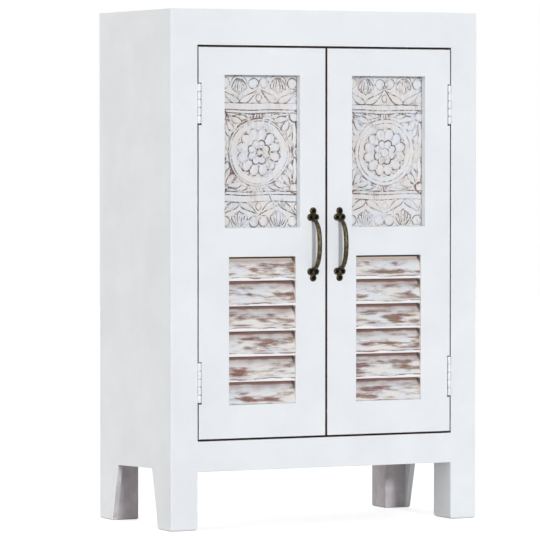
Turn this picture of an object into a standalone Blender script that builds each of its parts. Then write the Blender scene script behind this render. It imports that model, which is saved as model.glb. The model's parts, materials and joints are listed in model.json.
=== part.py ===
"""A small two-door cabinet of painted wood, with carved upper panels and louvred lower panels.

Metres, +Z up. The front faces -Y and the left door is at -X. The origin is on the floor, in the middle of
the box that holds the whole cabinet with its handles. Depths are measured back from the front face.
"""

import math

import bmesh
import bpy
from mathutils import Matrix, Vector

# Case
WIDTH = 0.600
DEPTH = 0.300
HEIGHT = 0.900
TOP_THICK = 0.016
SIDE_THICK = 0.010
BACK_THICK = 0.005
FLOOR_THICK = 0.015
LEG_WIDTH = 0.051
FRONT_LEG_DEPTH = 0.063
BACK_LEG_DEPTH = 0.053
LEG_CLEAR = 0.1015
TOP_FRAME = 0.0626
BOTTOM_FRAME = 0.0532
RAIL_THICK = 0.022
BACK_RAIL_THICK = 0.020
BACK_LAP = 0.010
FLOOR_LAP = 0.010

# The cut-out between the feet of each side board
ARCH_HEIGHT = 0.100
FOOT_DEPTH = 0.054
FOOT_TAPER = 0.025

# Shelf, level with the middle of the doors' middle rails
SHELF_THICK = 0.015
SHELF_SETBACK = 0.008
CLEAT_WIDTH = 0.018
CLEAT_HEIGHT = 0.022

# Doors
DOOR_THICK = 0.022
SIDE_GAP = 0.002
TOP_GAP = 0.0024
BOTTOM_GAP = 0.0023
MIDDLE_GAP = 0.002
STILE = 0.050
DOOR_TOP_RAIL = 0.0483
DOOR_MIDDLE_RAIL = 0.0500
DOOR_BOTTOM_RAIL = 0.0586
CARVING_TALLER = 0.0087
PANEL_THICK = 0.008
PANEL_LAP = 0.010
MEETING_BEVEL = 0.002

# Tenons on the rails
TENON_LENGTH = 0.022
TENON_THICK = 0.007
TENON_SHOULDER = 0.012

# Louvres
STRIP_WIDTH = 0.0083
SLATS = 6
LOUVRE_OVER = 0.0021
LOUVRE_UNDER = 0.0045
SLAT_LAP = 0.005
SLAT_THICK = 0.006
SLAT_SETBACK = 0.0015
SLAT_LIP = 0.003
SLAT_SLOPE = math.radians(14)

# Hinges
HINGE_HEIGHT = 0.0685
HINGE_INSET = 0.064
KNUCKLES = 5
KNUCKLE_RADIUS = 0.0030
PIN_RADIUS = 0.0014
PIN_PROUD = 0.0006
LEAF_THICK = 0.0012
LEAF_DEPTH = 0.0185

# Handles
HANDLE_FROM_EDGE = 0.0250
HANDLE_DROP = 0.0048
GRIP_LENGTH = 0.084
GRIP_STAND = 0.0258
GRIP_THICK = 0.0084
GRIP_END_THICK = 0.0066
GRIP_FULLNESS = 2.3
ROSETTE_THICK = 0.0034
LOBE_RADIUS = 0.0060
LOBE_SPREAD = 0.0054
TIP_RADIUS = 0.0064
TIP_RISE = 0.0110
SCREW_RADIUS = 0.0034
SCREW_PROUD = 0.0014

# Magnetic catch
CATCH_WIDTH = 0.044
CATCH_DEPTH = 0.020
CATCH_HEIGHT = 0.012
STRIKE_WIDTH = 0.016
STRIKE_THICK = 0.001

# Edges and fits
FIT = 0.0003
ARRIS = 0.0012
FOOT_ROUND = 0.004
EASE = 0.0006

# Facets of the round forms
KNUCKLE_SIDES = 20
HOLLOW_SIDES = 32
BORE_SIDES = 16
PIN_SIDES = 12
SCREW_SIDES = 12
SCREW_STEPS = 3
GRIP_SIDES = 12
GRIP_STEPS = 18
ROSETTE_STEPS = 44
SMOOTH_ANGLE = math.radians(40)
NEAR = 1e-6

# Places worked out from the sizes above
FRONT = (GRIP_STAND + GRIP_THICK / 2 - DEPTH) / 2
SIDE_FACE = WIDTH / 2 - SIDE_THICK
LEG_FACE = WIDTH / 2 - LEG_WIDTH
LEG_TOP = HEIGHT - TOP_THICK - FIT
OPENING_LOW = LEG_CLEAR + BOTTOM_FRAME
OPENING_HIGH = HEIGHT - TOP_FRAME
FLOOR_LOW = OPENING_LOW - FLOOR_THICK
BACK_FACE = DEPTH - BACK_THICK
DOOR_LOW = OPENING_LOW + BOTTOM_GAP
DOOR_HIGH = OPENING_HIGH - TOP_GAP
DOOR_OUTER = LEG_FACE - SIDE_GAP
DOOR_INNER = MIDDLE_GAP / 2
DOOR_OPENINGS = DOOR_HIGH - DOOR_LOW - DOOR_TOP_RAIL - DOOR_MIDDLE_RAIL - DOOR_BOTTOM_RAIL
CARVING_HEIGHT = (DOOR_OPENINGS + CARVING_TALLER) / 2
CARVING_HIGH = DOOR_HIGH - DOOR_TOP_RAIL
CARVING_LOW = CARVING_HIGH - CARVING_HEIGHT
LOUVRE_HIGH = CARVING_LOW - DOOR_MIDDLE_RAIL
LOUVRE_LOW = DOOR_LOW + DOOR_BOTTOM_RAIL
SLAT_PITCH = (LOUVRE_HIGH + LOUVRE_OVER - LOUVRE_LOW + LOUVRE_UNDER) / SLATS
PANEL_FACE = DOOR_THICK - PANEL_THICK
MIDDLE_LEVEL = (LOUVRE_HIGH + CARVING_LOW) / 2
HANDLE_LEVEL = MIDDLE_LEVEL - HANDLE_DROP
SHELF_TOP = MIDDLE_LEVEL + SHELF_THICK / 2
SHELF_LOW = SHELF_TOP - SHELF_THICK
CATCH_HIGH = SHELF_LOW - FIT
AXIS_X = LEG_FACE - KNUCKLE_RADIUS - FIT
LEAF_LINE = LEG_FACE - SIDE_GAP / 2
BORE_RADIUS = PIN_RADIUS + FIT
LEAF_START = KNUCKLE_RADIUS + 2 * FIT


def clear_scene():
    for old in list(bpy.data.objects):
        bpy.data.objects.remove(old, do_unlink=True)


def finish(name, colour, roughness, metallic=0.0):
    made = bpy.data.materials.new(name)
    made.use_nodes = True
    shader = made.node_tree.nodes["Principled BSDF"]
    shader.inputs["Base Color"].default_value = (*colour, 1)
    shader.inputs["Roughness"].default_value = roughness
    shader.inputs["Metallic"].default_value = metallic
    return made


def back(depth):
    """The Y of a depth behind the front face."""
    return FRONT + depth


def block(low, high):
    """A box between two corners given as (x, depth, z), in either order along X."""
    low, high = (Vector((x, back(depth), z)) for x, depth, z in (low, high))
    form = bmesh.new()
    bmesh.ops.create_cube(form, size=1)
    size = high - low
    bmesh.ops.scale(form, vec=Vector(abs(side) for side in size), verts=form.verts)
    bmesh.ops.translate(form, vec=(low + high) / 2, verts=form.verts)
    return form


def pushed_outline(corners, push):
    """A closed outline of points, pushed along a vector into a solid."""
    form = bmesh.new()
    outline = form.faces.new([form.verts.new(corner) for corner in corners])
    moved = bmesh.ops.extrude_face_region(form, geom=[outline])["geom"]
    corners = [part for part in moved if isinstance(part, bmesh.types.BMVert)]
    bmesh.ops.translate(form, vec=push, verts=corners)
    bmesh.ops.recalc_face_normals(form, faces=form.faces)
    return form


def plan_board(outline, low, high):
    """A level board from its (x, depth) outline."""
    return pushed_outline([(x, back(depth), low) for x, depth in outline], (0, 0, high - low))


def side_on_board(outline, start, end):
    """A board from its (depth, z) outline as seen from the side, pushed along X."""
    return pushed_outline([(start, back(depth), z) for depth, z in outline], (end - start, 0, 0))


def turned(profile, sides):
    """A closed round form about Z. The profile runs up as (radius, height)."""
    form = bmesh.new()
    turns = [Vector((math.cos(turn), math.sin(turn), 0)) for turn in
             (math.tau * step / sides for step in range(sides))]
    rings = [[form.verts.new(turn * radius + Vector((0, 0, height))) for turn in turns]
             for radius, height in profile]
    close_rings(form, rings)
    return form


def close_rings(form, rings):
    """Walls between rings that follow each other, and a cap on both ends."""
    for lower, upper in zip(rings, rings[1:]):
        for step in range(len(lower)):
            after = (step + 1) % len(lower)
            form.faces.new((lower[step], lower[after], upper[after], upper[step]))
    form.faces.new(rings[0])
    form.faces.new(rings[-1])
    bmesh.ops.recalc_face_normals(form, faces=form.faces)


def ease(form, width, wanted=None, segments=1):
    """Takes the sharp edge off the edges that are wanted, or off all of them."""
    edges = [edge for edge in form.edges if wanted is None or wanted(*(vert.co for vert in edge.verts))]
    bmesh.ops.bevel(form, geom=edges, offset=width, segments=segments, profile=0.5,
                    affect="EDGES", clamp_overlap=True)
    return form


def at(value, *coordinates):
    return all(abs(coordinate - value) < NEAR for coordinate in coordinates)


def mesh_of(form, name, origin):
    bmesh.ops.translate(form, vec=-origin, verts=form.verts)
    mesh = bpy.data.meshes.new(name)
    form.to_mesh(mesh)
    form.free()
    return mesh


def piece(name, form, material, carrier=None, smooth=False):
    """One sub-part, with its own origin at its middle, carried by an empty if it moves."""
    places = [vert.co for vert in form.verts]
    low = Vector(min(place[axis] for place in places) for axis in range(3))
    high = Vector(max(place[axis] for place in places) for axis in range(3))
    origin = (low + high) / 2
    mesh = mesh_of(form, name, origin)
    mesh.materials.append(material)
    if smooth:
        mesh.shade_smooth()
        mesh.set_sharp_from_angle(angle=SMOOTH_ANGLE)
    made = bpy.data.objects.new(name, mesh)
    bpy.context.scene.collection.objects.link(made)
    made.location = origin
    if carrier:
        made.parent = carrier
        made.location = origin - carrier.location
    made["middle"] = origin
    return made


def fit_to(made, form, operation):
    """Cuts a form out of a piece, or joins it on, with a helper that isn't part of the cabinet."""
    mesh = mesh_of(form, made.name + "_helper", Vector(made["middle"]))
    helper = bpy.data.objects.new(mesh.name, mesh)
    bpy.context.scene.collection.objects.link(helper)
    helper.parent = made
    helper.hide_render = True
    helper.display_type = "WIRE"
    change = made.modifiers.new("fit", "BOOLEAN")
    change.operation = operation
    change.object = helper


def cut(made, form):
    fit_to(made, form, "DIFFERENCE")


def join(made, form):
    fit_to(made, form, "UNION")


def grown_block(low, high, x=0.0, depth=0.0, z=0.0):
    """A box with room added on both sides along each axis that is named."""
    spread = Vector((x, depth, z))
    first = Vector(min(pair) for pair in zip(low, high)) - spread
    second = Vector(max(pair) for pair in zip(low, high)) + spread
    return block(first, second)


def tenon_corners(face, outward, low, high, thick):
    """The (x, depth, z) corners of a tenon that leaves a rail at x = face."""
    middle = thick / 2
    return (
        (face, middle - TENON_THICK / 2, low + TENON_SHOULDER),
        (face + outward * TENON_LENGTH, middle + TENON_THICK / 2, high - TENON_SHOULDER),
    )


def add_tenon(rail, face, outward, low, high, thick):
    start, end = tenon_corners(face, outward, low, high, thick)
    rooted = (start[0] - outward * TENON_THICK, start[1], start[2])
    join(rail, block(rooted, end))


def cut_mortise(upright, face, outward, low, high, thick):
    start, end = tenon_corners(face, outward, low, high, thick)
    opened = (start[0] - outward * TENON_THICK, start[1], start[2])
    cut(upright, grown_block(opened, end, FIT, FIT, FIT))


def long_upright(first, second):
    return at(0, (first - second).x, (first - second).y)


def make_front_leg(side, material):
    """An upright whose back outer corner is cut away for the side board."""
    inner, outer = side * LEG_FACE, side * WIDTH / 2
    lap = side * (SIDE_FACE - FIT)
    form = plan_board(
        [(inner, 0), (outer, 0), (outer, RAIL_THICK), (lap, RAIL_THICK),
         (lap, FRONT_LEG_DEPTH), (inner, FRONT_LEG_DEPTH)], 0, LEG_TOP)

    def foot(first, second):
        hidden = at(lap, first.x, second.x) or at(back(RAIL_THICK), first.y, second.y)
        return at(0, first.z, second.z) and not hidden

    def arris(first, second):
        shown = at(back(0), first.y) or at(inner, first.x)
        return long_upright(first, second) and shown

    ease(form, FOOT_ROUND, foot, 2)
    ease(form, ARRIS, arris, 2)
    return piece(f"front_leg_{side_name(side)}", form, material)


def make_back_leg(side, material):
    """An upright whose back inner corner is rebated for the back board, above the foot."""
    inner = side * LEG_FACE
    lap = side * (SIDE_FACE - FIT)
    start = DEPTH - BACK_LEG_DEPTH
    form = block((inner, start, 0), (lap, DEPTH, LEG_TOP))

    def foot(first, second):
        return at(0, first.z, second.z) and not at(lap, first.x, second.x)

    def arris(first, second):
        return long_upright(first, second) and at(inner, first.x)

    ease(form, FOOT_ROUND, foot, 2)
    ease(form, ARRIS, arris, 1)
    leg = piece(f"back_leg_{side_name(side)}", form, material)
    cut(leg, grown_block((inner - side * BACK_LAP, BACK_FACE, LEG_CLEAR),
                         (inner + side * BACK_LAP, DEPTH + BACK_THICK, HEIGHT), 0, FIT, FIT))
    return leg


def make_side_panel(side, material):
    """The side board, cut away between two tapered feet."""
    start = RAIL_THICK + FIT
    back_foot = DEPTH - FOOT_DEPTH
    outline = [
        (start, 0), (FOOT_DEPTH, 0), (FOOT_DEPTH + FOOT_TAPER, ARCH_HEIGHT),
        (back_foot - FOOT_TAPER, ARCH_HEIGHT), (back_foot, 0), (DEPTH, 0),
        (DEPTH, LEG_TOP), (start, LEG_TOP),
    ]
    outer = side * WIDTH / 2
    form = side_on_board(outline, side * SIDE_FACE, outer)

    def foot(first, second):
        return at(outer, first.x, second.x) and at(0, first.z, second.z)

    def arris(first, second):
        joint = at(back(start), first.y, second.y) or at(LEG_TOP, first.z, second.z)
        return at(outer, first.x, second.x) and not joint

    ease(form, FOOT_ROUND, foot, 2)
    ease(form, ARRIS, arris, 2)
    return piece(f"side_panel_{side_name(side)}", form, material)


def side_name(side):
    return "left" if side < 0 else "right"


def notched_outline(front, rear):
    """The plan of a board that reaches the side boards between the legs."""
    wide, narrow = SIDE_FACE - FIT, LEG_FACE - FIT
    front_step, back_step = FRONT_LEG_DEPTH + FIT, DEPTH - BACK_LEG_DEPTH - FIT
    right = [(narrow, front), (narrow, front_step), (wide, front_step),
             (wide, back_step), (narrow, back_step), (narrow, rear)]
    return right + [(-x, depth) for x, depth in reversed(right)]


def make_case(paint, inside):
    top = block((-WIDTH / 2, 0, HEIGHT - TOP_THICK), (WIDTH / 2, DEPTH, HEIGHT))
    ease(top, ARRIS, lambda first, second: at(HEIGHT, first.z, second.z) or long_upright(first, second), 2)
    piece("top_panel", top, paint)
    legs = {}
    for side in (-1, 1):
        legs[side] = make_front_leg(side, paint)
        make_back_leg(side, paint)
        make_side_panel(side, paint)
    rail_end = LEG_FACE - FIT
    for name, low, high in (("top_rail", OPENING_HIGH, LEG_TOP), ("bottom_rail", LEG_CLEAR, OPENING_LOW)):
        form = ease(block((-rail_end, 0, low), (rail_end, RAIL_THICK, high)), EASE)
        rail = piece(name, form, paint)
        for side in (-1, 1):
            add_tenon(rail, side * rail_end, side, low, high, RAIL_THICK)
            cut_mortise(legs[side], side * rail_end, side, low, high, RAIL_THICK)
        if name == "bottom_rail":
            cut(rail, grown_block((-rail_end, RAIL_THICK - FLOOR_LAP, FLOOR_LOW),
                                  (rail_end, DEPTH, HEIGHT), FIT, FIT, FIT))
    for side in (-1, 1):
        for low in hinge_levels():
            cut(legs[side], leg_mortise(side, low))
    floor_outline = notched_outline(RAIL_THICK - FLOOR_LAP, BACK_FACE - FIT)
    piece("bottom_panel", ease(plan_board(floor_outline, FLOOR_LOW, OPENING_LOW), EASE), inside)
    rail = block((-rail_end, BACK_FACE - FIT - BACK_RAIL_THICK, LEG_CLEAR),
                 (rail_end, BACK_FACE - FIT, FLOOR_LOW - FIT))
    piece("back_rail", ease(rail, EASE), paint)
    lap = LEG_FACE + BACK_LAP - FIT
    board = block((-lap, BACK_FACE, LEG_CLEAR), (lap, DEPTH, LEG_TOP))
    piece("back_panel", ease(board, EASE), inside)


def make_shelf(inside):
    outline = notched_outline(DOOR_THICK + SHELF_SETBACK, BACK_FACE - FIT)
    piece("shelf", ease(plan_board(outline, SHELF_LOW, SHELF_TOP), EASE), inside)
    wide, high = SIDE_FACE - FIT, SHELF_LOW - FIT
    for side in (-1, 1):
        form = block((side * (wide - CLEAT_WIDTH), FRONT_LEG_DEPTH + FIT, high - CLEAT_HEIGHT),
                     (side * wide, DEPTH - BACK_LEG_DEPTH - FIT, high))
        piece(f"shelf_cleat_{side_name(side)}", ease(form, EASE), inside)


def make_catch(plastic):
    start = DOOR_THICK + FIT + STRIKE_THICK + FIT
    form = block((-CATCH_WIDTH / 2, start, CATCH_HIGH - CATCH_HEIGHT),
                 (CATCH_WIDTH / 2, start + CATCH_DEPTH, CATCH_HIGH))
    piece("magnetic_catch", ease(form, EASE), plastic)


def make_strike(side, steel, carrier):
    """The plate on a door's back, in front of the middle of its half of the catch."""
    middle = side * CATCH_WIDTH / 4
    form = block((middle - STRIKE_WIDTH / 2, DOOR_THICK + FIT, CATCH_HIGH - CATCH_HEIGHT),
                 (middle + STRIKE_WIDTH / 2, DOOR_THICK + FIT + STRIKE_THICK, CATCH_HIGH))
    piece(f"door_{side_name(side)}_strike_plate", form, steel, carrier)


def panel_room(side, opening_outer, opening_inner):
    """The rebate at the back of the door frame that holds the carved panel."""
    low = (side * (opening_inner - PANEL_LAP), PANEL_FACE, CARVING_LOW - PANEL_LAP)
    high = (side * (opening_outer + PANEL_LAP), DOOR_THICK + PANEL_THICK, CARVING_HIGH + PANEL_LAP)
    return grown_block(low, high, 0, FIT, 0)


def make_door(side, paint, carved, worn, bronze, steel):
    name = f"door_{side_name(side)}"
    axis = bpy.data.objects.new(f"{name}_axis", None)
    bpy.context.scene.collection.objects.link(axis)
    axis.location = (side * AXIS_X, FRONT, 0)
    outer, inner = DOOR_OUTER - STILE, DOOR_INNER + STILE
    room = (side, outer, inner)

    hinging = block((side * outer, 0, DOOR_LOW), (side * DOOR_OUTER, DOOR_THICK, DOOR_HIGH))
    hinge_stile = piece(f"{name}_hinge_stile", ease(hinging, EASE), paint, axis)
    meeting = block((side * DOOR_INNER, 0, DOOR_LOW), (side * inner, DOOR_THICK, DOOR_HIGH))

    def closing_corner(first, second):
        return at(side * DOOR_INNER, first.x, second.x) and at(back(DOOR_THICK), first.y, second.y)

    ease(meeting, MEETING_BEVEL, closing_corner)
    meeting_stile = piece(f"{name}_meeting_stile", meeting, paint, axis)
    for level in hinge_levels():
        for room_form in door_mortise(side, level):
            cut(hinge_stile, room_form)

    rails = (
        ("top_rail", CARVING_HIGH, DOOR_HIGH),
        ("middle_rail", LOUVRE_HIGH, CARVING_LOW),
        ("bottom_rail", DOOR_LOW, LOUVRE_LOW),
    )
    for rail_name, low, high in rails:
        ends = (inner + FIT, outer - FIT)
        form = ease(block((side * ends[0], 0, low), (side * ends[1], DOOR_THICK, high)), EASE)
        rail = piece(f"{name}_{rail_name}", form, paint, axis)
        for end, outward, upright in ((ends[0], -side, meeting_stile), (ends[1], side, hinge_stile)):
            add_tenon(rail, side * end, outward, low, high, DOOR_THICK)
            cut_mortise(upright, side * end, outward, low, high, DOOR_THICK)
        if rail_name != "bottom_rail":
            cut(rail, panel_room(*room))
    for upright in (hinge_stile, meeting_stile):
        cut(upright, panel_room(*room))

    lap = PANEL_LAP - FIT
    panel = block((side * (inner - lap), PANEL_FACE, CARVING_LOW - lap),
                  (side * (outer + lap), DOOR_THICK, CARVING_HIGH + lap))
    piece(f"{name}_carved_panel", panel, carved, axis)
    make_louvres(side, name, outer, inner, paint, worn, axis)
    make_handle(side, name, bronze, axis)
    make_strike(side, steel, axis)
    return axis


def make_louvres(side, name, outer, inner, paint, worn, axis):
    """Two upright strips and the sloping slats between them, whose row runs on behind both rails.

    A slat has an upright lip along its lower edge, unless the bottom rail hides it.
    """
    low, high = LOUVRE_LOW + FIT, LOUVRE_HIGH - FIT
    for strip_name, start, end in (("inner", inner + FIT, inner + STRIP_WIDTH),
                                   ("outer", outer - FIT, outer - STRIP_WIDTH)):
        strip = block((side * start, 0, low), (side * end, DOOR_THICK, high))
        piece(f"{name}_{strip_name}_louvre_strip", ease(strip, EASE), paint, axis)
    slope = math.tan(SLAT_SLOPE)
    thick = SLAT_THICK / math.cos(SLAT_SLOPE)
    start, end = side * (inner + STRIP_WIDTH + FIT), side * (outer - STRIP_WIDTH - FIT)
    for number in range(1, SLATS + 1):
        edge = LOUVRE_HIGH + LOUVRE_OVER - number * SLAT_PITCH
        bottom, top = max(edge, low), min(edge + SLAT_PITCH + SLAT_LAP, high)
        lip = edge + SLAT_LIP
        far_bottom = SLAT_SETBACK + thick + (bottom - lip) * slope
        near_top = SLAT_SETBACK + (top - lip) * slope
        outline = [(far_bottom, bottom), (near_top + thick, top), (near_top, top)]
        if bottom < lip:
            outline += [(SLAT_SETBACK, lip), (SLAT_SETBACK, bottom)]
        else:
            outline.append((far_bottom - thick, bottom))
        slat = ease(side_on_board(outline, start, end), EASE)
        piece(f"{name}_slat_{number}", slat, worn, axis)


def hinge_levels():
    """The lower ends of the two hinges of a door."""
    return (DOOR_HIGH - HINGE_INSET - HINGE_HEIGHT, DOOR_LOW + HINGE_INSET)


def frame_leaf_sides():
    return LEAF_LINE + FIT / 2, LEAF_LINE + FIT / 2 + LEAF_THICK


def door_leaf_sides():
    return LEAF_LINE - FIT / 2 - LEAF_THICK, LEAF_LINE - FIT / 2


def leg_mortise(side, low):
    near, far = frame_leaf_sides()
    return grown_block((side * near, -KNUCKLE_RADIUS, low), (side * far, LEAF_DEPTH, low + HINGE_HEIGHT),
                       FIT, FIT, FIT)


def door_mortise(side, low):
    """The room for the door's leaf, and a round hollow along the corner for the knuckles."""
    near, far = door_leaf_sides()
    leaf = grown_block((side * near, -KNUCKLE_RADIUS, low), (side * far, LEAF_DEPTH, low + HINGE_HEIGHT),
                       FIT, FIT, FIT)
    radius = KNUCKLE_RADIUS + FIT
    beyond = PIN_PROUD + FIT
    hollow = turned([(radius, low - beyond), (radius, low + HINGE_HEIGHT + beyond)], HOLLOW_SIDES)
    bmesh.ops.translate(hollow, vec=(side * AXIS_X, FRONT, 0), verts=hollow.verts)
    return leaf, hollow


def make_leaf(name, side, low, sides, owned, tab_reach, start, steel, carrier):
    """One leaf: a plate, its own knuckles, and the tabs that join them to it."""
    near, far = sides
    plate = block((side * near, start, low), (side * far, LEAF_DEPTH, low + HINGE_HEIGHT))
    leaf = piece(name, plate, steel, carrier)
    pitch = (HINGE_HEIGHT + FIT) / KNUCKLES
    for knuckle in owned:
        bottom = low + knuckle * pitch
        top = bottom + pitch - FIT
        tube = turned([(KNUCKLE_RADIUS, bottom), (KNUCKLE_RADIUS, top)], KNUCKLE_SIDES)
        bmesh.ops.translate(tube, vec=(side * AXIS_X, FRONT, 0), verts=tube.verts)
        join(leaf, tube)
        tab_near, tab_far, tab_end = tab_reach
        join(leaf, block((side * tab_near, 0, bottom), (side * tab_far, tab_end, top)))
    bore = turned([(BORE_RADIUS, low - KNUCKLE_RADIUS), (BORE_RADIUS, low + HINGE_HEIGHT + KNUCKLE_RADIUS)],
                  BORE_SIDES)
    bmesh.ops.translate(bore, vec=(side * AXIS_X, FRONT, 0), verts=bore.verts)
    cut(leaf, bore)
    return leaf


def make_hinges(side, steel, pin_steel, axis):
    for place, low in zip(("upper", "lower"), hinge_levels()):
        name = f"{side_name(side)}_{place}_hinge"
        near, far = frame_leaf_sides()
        frame_tab = (AXIS_X + BORE_RADIUS + FIT, far, KNUCKLE_RADIUS + FIT)
        make_leaf(f"{name}_frame_leaf", side, low, (near, far), range(0, KNUCKLES, 2),
                  frame_tab, KNUCKLE_RADIUS, steel, None)
        near, far = door_leaf_sides()
        door_tab = (near, far, LEAF_START + FIT)
        make_leaf(f"{name}_door_leaf", side, low, (near, far), range(1, KNUCKLES, 2),
                  door_tab, LEAF_START, steel, axis)
        ends = (low - PIN_PROUD, low + HINGE_HEIGHT + PIN_PROUD)
        dome = PIN_RADIUS - PIN_PROUD
        pin = turned([(dome, ends[0]), (PIN_RADIUS, low), (PIN_RADIUS, low + HINGE_HEIGHT), (dome, ends[1])],
                     PIN_SIDES)
        bmesh.ops.translate(pin, vec=(side * AXIS_X, FRONT, 0), verts=pin.verts)
        piece(f"{name}_pin", pin, pin_steel, smooth=True)


def rosette_reach(turn):
    """How far the three-lobed rosette reaches from its core, in a direction of the door's face."""
    way = Vector((math.cos(turn), math.sin(turn)))
    reach = LOBE_SPREAD
    lobes = ((Vector((0, TIP_RISE / 2)), TIP_RADIUS),
             (Vector((LOBE_SPREAD, -TIP_RISE / 2)), LOBE_RADIUS),
             (Vector((-LOBE_SPREAD, -TIP_RISE / 2)), LOBE_RADIUS))
    for centre, radius in lobes:
        along = way.dot(centre)
        inside = radius ** 2 - (centre.length_squared - along ** 2)
        if inside > 0:
            reach = max(reach, along + math.sqrt(inside))
    return reach


def rosette_form(x, level, upward):
    """The flat back plate of one end of the handle, standing off the door by a fit."""
    outline = []
    for step in range(ROSETTE_STEPS):
        turn = math.tau * (step + 0.5) / ROSETTE_STEPS
        reach = rosette_reach(turn)
        outline.append((x + reach * math.cos(turn), FRONT - FIT, level + upward * reach * math.sin(turn)))
    form = pushed_outline(outline, (0, -ROSETTE_THICK, 0))
    return ease(form, EASE, lambda first, second: at(FRONT - FIT - ROSETTE_THICK, first.y, second.y))


def screw_form(x, z):
    """A domed screw head that stands out of the rosette."""
    rises = [math.pi / 2 * step / SCREW_STEPS for step in range(SCREW_STEPS)]
    profile = [(SCREW_RADIUS, -ROSETTE_THICK / 2)]
    profile += [(SCREW_RADIUS * math.cos(rise), SCREW_PROUD * math.sin(rise)) for rise in rises]
    form = turned(profile, SCREW_SIDES)
    place = Matrix.Translation((x, FRONT - FIT - ROSETTE_THICK, z))
    form.transform(place @ Matrix.Rotation(math.pi / 2, 4, "X"))
    bmesh.ops.recalc_face_normals(form, faces=form.faces)
    return form


def grip_form(x):
    """The bowed grip: its ends are buried in the rosettes and it stands furthest out at its middle."""
    root = FIT + ROSETTE_THICK / 2
    form = bmesh.new()
    rings = []
    for step in range(GRIP_STEPS + 1):
        turn = math.pi * step / GRIP_STEPS
        height = -math.cos(turn) * GRIP_LENGTH / 2
        share = abs(height) / (GRIP_LENGTH / 2)
        out = root + (GRIP_STAND - root) * max(0.0, 1 - share ** GRIP_FULLNESS) ** (1 / GRIP_FULLNESS)
        thick = GRIP_END_THICK + (GRIP_THICK - GRIP_END_THICK) * math.sin(turn)
        rings.append((Vector((x, FRONT - out, HANDLE_LEVEL + height)), thick / 2))
    loops = []
    for step, (centre, radius) in enumerate(rings):
        before, after = rings[max(step - 1, 0)][0], rings[min(step + 1, GRIP_STEPS)][0]
        along = (after - before).normalized()
        across = Vector((1, 0, 0))
        outward = across.cross(along)
        turns = [math.tau * count / GRIP_SIDES for count in range(GRIP_SIDES)]
        loops.append([form.verts.new(centre + radius * (math.cos(turn) * outward + math.sin(turn) * across))
                      for turn in turns])
    close_rings(form, loops)
    return form


def make_handle(side, name, bronze, axis):
    x = side * (DOOR_INNER + HANDLE_FROM_EDGE)
    handle = piece(f"{name}_handle", grip_form(x), bronze, axis, smooth=True)
    for upward in (-1, 1):
        level = HANDLE_LEVEL + upward * (GRIP_LENGTH / 2 + TIP_RISE)
        join(handle, rosette_form(x, level, upward))
        join(handle, screw_form(x, level + upward * TIP_RISE / 2))
        for across in (-1, 1):
            join(handle, screw_form(x + across * LOBE_SPREAD, level - upward * TIP_RISE / 2))


def main():
    clear_scene()
    paint = finish("white_paint", (0.84, 0.85, 0.86), 0.45)
    inside = finish("inside_paint", (0.80, 0.79, 0.76), 0.6)
    carved = finish("carved_whitewash", (0.80, 0.77, 0.73), 0.65)
    worn = finish("worn_slat_paint", (0.72, 0.64, 0.60), 0.6)
    bronze = finish("antique_bronze", (0.10, 0.08, 0.05), 0.4, 0.8)
    steel = finish("painted_steel", (0.86, 0.86, 0.86), 0.4)
    bare_steel = finish("bare_steel", (0.6, 0.6, 0.6), 0.35, 1.0)
    plastic = finish("catch_plastic", (0.75, 0.74, 0.70), 0.5)
    make_case(paint, inside)
    make_shelf(inside)
    make_catch(plastic)
    for side in (-1, 1):
        axis = make_door(side, paint, carved, worn, bronze, bare_steel)
        make_hinges(side, steel, bare_steel, axis)


main()
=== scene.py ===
"""How the painted two-door cabinet looks: its paint, carving, louvres, metalwork, floor and light.

Metres, +Z up, in the frame's own axes. The front faces -Y. Depths are measured back from the front face.
"""

import json
import math

import bmesh
import bpy
import numpy as np
from mathutils import Matrix, Vector

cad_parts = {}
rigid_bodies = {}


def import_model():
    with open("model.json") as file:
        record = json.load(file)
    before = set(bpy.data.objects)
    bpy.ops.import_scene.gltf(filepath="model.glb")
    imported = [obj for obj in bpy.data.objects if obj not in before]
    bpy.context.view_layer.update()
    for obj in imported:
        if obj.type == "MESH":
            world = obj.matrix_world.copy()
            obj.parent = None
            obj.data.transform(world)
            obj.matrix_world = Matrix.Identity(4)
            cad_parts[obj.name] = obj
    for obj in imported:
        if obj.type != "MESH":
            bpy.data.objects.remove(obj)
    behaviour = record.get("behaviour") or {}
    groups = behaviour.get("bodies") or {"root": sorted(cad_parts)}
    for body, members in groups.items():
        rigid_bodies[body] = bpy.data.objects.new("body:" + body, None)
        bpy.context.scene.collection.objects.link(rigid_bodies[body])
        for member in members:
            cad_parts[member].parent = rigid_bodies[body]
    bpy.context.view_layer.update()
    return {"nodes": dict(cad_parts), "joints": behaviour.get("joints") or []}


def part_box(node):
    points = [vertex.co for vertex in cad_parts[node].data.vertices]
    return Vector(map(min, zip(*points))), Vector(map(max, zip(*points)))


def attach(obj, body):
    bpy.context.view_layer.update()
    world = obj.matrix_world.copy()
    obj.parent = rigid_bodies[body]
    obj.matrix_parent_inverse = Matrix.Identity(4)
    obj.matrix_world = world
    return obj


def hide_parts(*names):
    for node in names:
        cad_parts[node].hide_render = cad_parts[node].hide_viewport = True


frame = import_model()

MM = 0.001
SIDES = {"left": -1, "right": 1}
CASE_BOARDS = ("top_panel", "front_leg_left", "front_leg_right", "side_panel_left", "side_panel_right",
               "back_leg_left", "back_leg_right", "top_rail", "bottom_rail", "back_rail")
DOOR_BOARDS = ("hinge_stile", "meeting_stile", "top_rail", "middle_rail", "bottom_rail",
               "inner_louvre_strip", "outer_louvre_strip")
HINGE_LEVELS = ("upper", "lower")

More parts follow.
